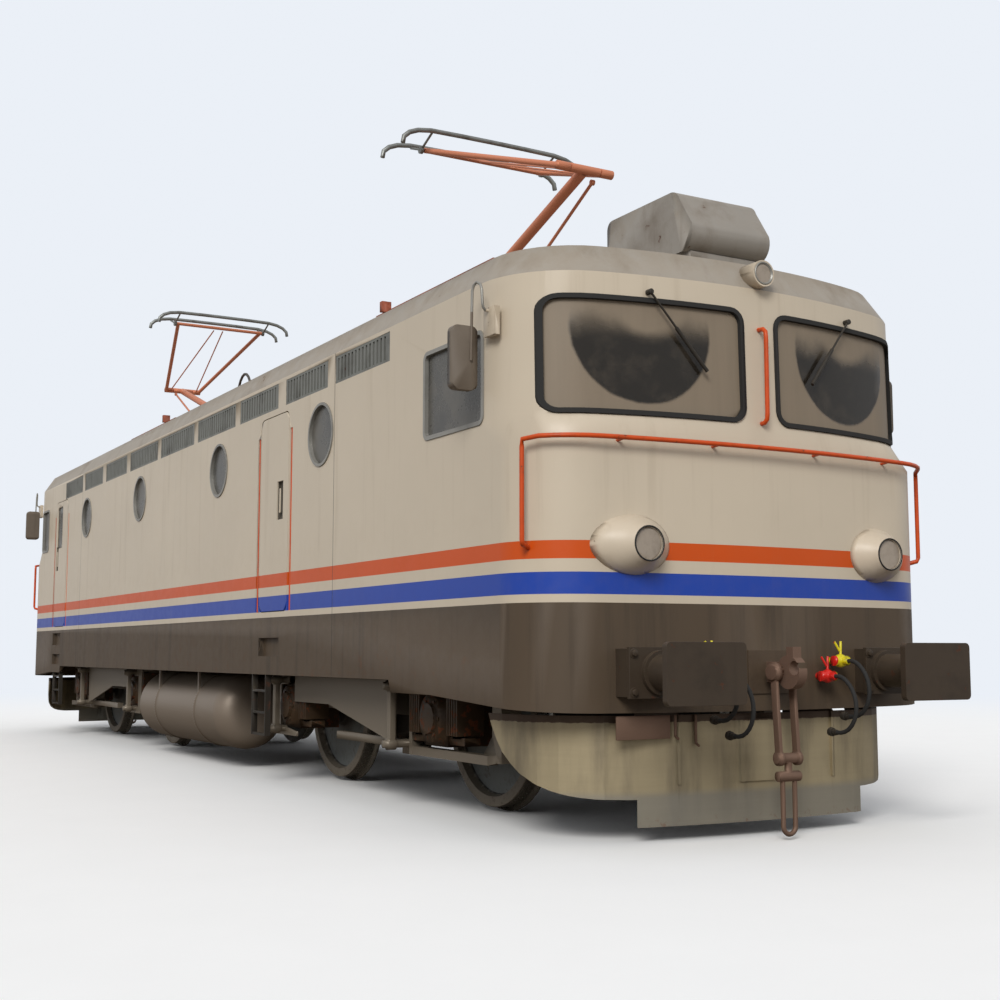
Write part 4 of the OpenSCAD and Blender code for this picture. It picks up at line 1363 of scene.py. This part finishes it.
@dataclass
class NoseFittings:
    """Headlamps, mirrors, wipers and cooler of the cabs."""

    lamp_x: float = 7.298
    lamp_y: float = 0.944
    lamp_z: float = 1.726
    lamp_ring: float = 0.099
    top_x: float = 7.236
    top_z: float = 3.458
    top_ring: float = 0.066

    def build(self) -> None:
        """Dresses the fittings and adds the lamp rings."""
        CarriedNode("headlamps", Palette.pod, "cream_paint", 40.0, flat=False).build()
        CarriedNode("lamp_lenses", Palette.lens, "lens").build()
        CarriedNode("air_conditioner", Palette.cooler, "grey_paint", 40.0).build()
        mirrors = CarriedNode("mirrors", Palette.mirror, "pale_metal", 40.0).build()
        Workbench.repaint(mirrors, Palette.pod, lambda face: abs(face.center.y) < 1.636)
        Workbench.repaint(mirrors, Palette.frame_metal, self.is_loop)
        CarriedNode("wipers", Palette.dark, "dark_metal", 40.0).build()
        for end in End:
            rings = []
            for side in (-1.0, 1.0):
                middle = (self.lamp_x + 0.006, side * self.lamp_y, self.lamp_z)
                rings.append(Workbench.ring("lamp_ring", middle, (1.0, 0.0, 0.0), self.lamp_ring, 0.006))
            pair = Workbench.joined(rings, f"lamp_rings_{end.word}")
            pair.data.transform(end.turn)
            Workbench.fit(pair, Palette.seal, "carbody", "seal_rubber")
            middle = (self.top_x, 0.0, self.top_z)
            rim = Workbench.ring(f"top_lamp_rim_{end.word}", middle, (1.0, 0.0, 0.0), self.top_ring, 0.009)
            rim.data.transform(end.turn)
            Workbench.fit(rim, Palette.frame_metal, "carbody", "pale_metal")

    @staticmethod
    def is_loop(face: bpy.types.MeshPolygon) -> bool:
        """Whether a face of the mirrors belongs to a holding loop, above the head."""
        return face.center.z > 3.085 and abs(face.center.y) >= 1.636


@dataclass
class DrawGear:
    """Buffers, hooks, couplings and brake cocks."""

    plate_x: float = 7.293
    pitch: float = 0.878
    height: float = 0.987
    bolts_across: tuple[float, float] = (-0.135, 0.178)
    bolts_up: tuple[float, float] = (-0.110, 0.110)
    bolt: float = 0.019
    hook_plate: float = 7.240

    def bolts(self, end: End) -> bpy.types.Object:
        """The eight bolts of one end's buffer plates.

        Args:
            end: The end of the locomotive.

        Returns:
            The bolts, joined.
        """
        start = (self.plate_x - 0.002, 0.0, self.height)
        washer = Workbench.rod("washer", start, (self.plate_x + 0.004, 0.0, self.height), self.bolt * 1.5)
        head = Workbench.rod("head", start, (self.plate_x + 0.020, 0.0, self.height), self.bolt, 6, 0.003)
        one = Workbench.joined([washer, head], "bolt")
        moves = [
            end.turn @ Matrix.Translation((0.0, side * (self.pitch + across), up))
            for side in (-1.0, 1.0)
            for across in self.bolts_across
            for up in self.bolts_up
        ]
        return Workbench.copies(one, moves, f"buffer_bolts_{end.word}")

    def build(self) -> None:
        """Dresses the draw gear and adds the buffer bolts."""
        CarriedNode("buffers", Palette.buffer, "buffer_steel", 32.0, 0.004).build()
        hooks = CarriedNode("draw_hooks", Palette.steel, "rusty_steel", 32.0, 0.006).build()
        Workbench.repaint(hooks, Palette.band, lambda face: abs(face.center.x) < self.hook_plate)
        CarriedNode("screw_couplings", Palette.steel, "rusty_steel", 40.0).build()
        CarriedNode("air_cocks", Palette.cock, "cock_paint", 40.0).build()
        for end in End:
            Workbench.fit(self.bolts(end), Palette.buffer, "carbody", "buffer_steel")


@dataclass
class UnderFloor:
    """Ploughs, ladders and air tanks."""

    hang_x: float = 7.115
    hang_z: float = 0.737
    tab: tuple[float, float, float] = (-1.060, -0.680, 0.600)
    hooks: tuple[tuple[float, float], ...] = ((-0.640, 0.610), (-0.490, 0.565))

    def hangers(self, end: End) -> bpy.types.Object:
        """The rusty tab and the two small hooks that hang over one plough.

        Args:
            end: The end of the locomotive.

        Returns:
            The joined piece.
        """
        x = self.hang_x
        first, last, foot = self.tab
        parts = [Workbench.block("tab", (x - 0.006, first, foot), (x + 0.006, last, self.hang_z), 0.003)]
        for y, low in self.hooks:
            parts.append(Workbench.rod("hook", (x, y, self.hang_z), (x, y, low), 0.009))
            heel, tip = (x - 0.004, y, low + 0.004), (x + 0.030, y, low - 0.012)
            parts.append(Workbench.rod("hook", heel, tip, 0.008))
        piece = Workbench.joined(parts, f"plough_hangers_{end.word}")
        piece.data.transform(end.turn)
        return piece

    def build(self) -> None:
        """Dresses what hangs under the frame."""
        for end in End:
            Workbench.fit(self.hangers(end), Palette.steel, "carbody", "rusty_steel")
        CarriedNode("snow_ploughs", Palette.plough, "plough_metal", 30.0).build()
        CarriedNode("air_tanks", Palette.tank, "tank_paint", 30.0).build()
        CarriedNode("ladders", Palette.dark, "dark_metal").build()


@dataclass
class Bogie:
    """One bogie with its axle boxes, motors and two wheelsets."""

    end: End
    pivot: float = 3.85
    half_base: float = 1.35
    axle_z: float = 0.653
    cover_y: float = 1.292
    spring_dx: float = 0.285
    spring_y: float = 1.170
    spring_z: tuple[float, float] = (0.545, 0.860)
    leaf_pitch: float = 0.034

    def leaves(self) -> bpy.types.Object:
        """The upright packs of rubbed leaves beside every axle box.

        Returns:
            The packs of the bogie, joined.
        """
        low = (-0.011, -0.104, self.spring_z[0])
        leaf = Workbench.block("leaf", low, (0.011, 0.104, self.spring_z[1]), 0.003)
        moves = [
            self.end.turn @ Matrix.Translation((x + step * self.leaf_pitch, side * self.spring_y, 0.0))
            for axle in (-self.half_base, self.half_base)
            for x in (self.pivot + axle - self.spring_dx, self.pivot + axle + self.spring_dx)
            for side in (-1.0, 1.0)
            for step in range(-2, 3)
        ]
        return Workbench.copies(leaf, moves, f"leaf_packs_{self.end.word}")

    def bolts(self) -> bpy.types.Object:
        """Six bolt heads round the cover of every axle box.

        Returns:
            The bolts of the bogie, joined.
        """
        start = Vector((0.0, self.cover_y - 0.006, self.axle_z))
        head = Workbench.rod("cover_bolt", start, start + Vector((0.0, 0.014, 0.0)), 0.014, 6, 0.002)
        moves = []
        for axle in (self.pivot - self.half_base, self.pivot + self.half_base):
            for half in (0.0, math.pi):
                for step in range(6):
                    turn = Matrix.Rotation(math.radians(60.0 * step + 30.0), 4, "Y")
                    out = Matrix.Translation((0.0, 0.0, self.axle_z)) @ turn
                    out = out @ Matrix.Translation((0.0, 0.0, 0.125 - self.axle_z))
                    place = Matrix.Rotation(half, 4, "Z") @ out
                    middle = self.end.turn @ Matrix.Translation((axle, 0.0, 0.0))
                    moves.append(middle @ place)
        return Workbench.copies(head, moves, f"cover_bolts_{self.end.word}")

    def build(self) -> None:
        """Dresses the bogie."""
        word = self.end.word
        CarriedNode(f"bogie_frame_{word}", Palette.bogie, "bogie_paint", 35.0).build()
        boxes = CarriedNode(f"axle_boxes_{word}", Palette.box, "bogie_paint", 35.0).build()
        Workbench.drop(boxes, self.is_spring)
        for extra in (self.leaves(), self.bolts()):
            Workbench.fit(extra, Palette.box, f"bogie_{word}", "bogie_paint")
        CarriedNode(f"traction_motors_{word}", Palette.dark, "bogie_paint", 35.0).build()
        first = 1 if self.end is End.FRONT else 3
        for number in (first, first + 1):
            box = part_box(f"wheelset_{number}")
            middle = (box[0][0] + box[1][0]) / 2.0
            finish = WheelSteel(f"wheel_steel_{number}", middle)
            CarriedNode(f"wheelset_{number}", finish, "wheel_steel", 30.0).build()


    def is_spring(self, face: bpy.types.MeshPolygon) -> bool:
        """Whether a face belongs to a plain spring barrel, which the leaf packs stand in for.

        Args:
            face: The face.

        Returns:
            Whether it does.
        """
        x, y, z = face.center
        near = min(
            math.hypot(abs(x) - self.pivot - axle - dx, abs(y) - self.spring_y)
            for axle in (-self.half_base, self.half_base)
            for dx in (-self.spring_dx, self.spring_dx)
        )
        return near < 0.0885 and self.spring_z[0] < z < 0.90 and abs(face.normal.z) < 0.5


@dataclass
class RoofGear:
    """Pantographs, their bases and the roof conductors."""

    def build(self) -> None:
        """Dresses the roof."""
        CarriedNode("pantograph_bases", Palette.stacks, "arm_paint", 35.0).build()
        CarriedNode("roof_conductors", Palette.busbar, "dark_metal", 35.0).build()
        for end in End:
            for part in ("lower_arm", "thrust_rod", "upper_arm"):
                CarriedNode(f"{part}_{end.word}", Palette.arm, "arm_paint", 45.0).build()
            CarriedNode(f"pan_head_{end.word}", Palette.strip, "strip_metal", 45.0).build()


def main() -> None:
    """Builds the looks of the locomotive, sub-assembly by sub-assembly."""
    logging.basicConfig(level=logging.INFO, format="%(name)s: %(message)s")
    Workbench.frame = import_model()
    Studio().build()
    for part in (
        BrakeHoses(),
        BodyShell(),
        NoseFittings(),
        DrawGear(),
        UnderFloor(),
        Bogie(End.FRONT),
        Bogie(End.REAR),
        RoofGear(),
    ):
        part.build()
        LOG.info("%s built", type(part).__name__)


if __name__ == "__main__":
    main()
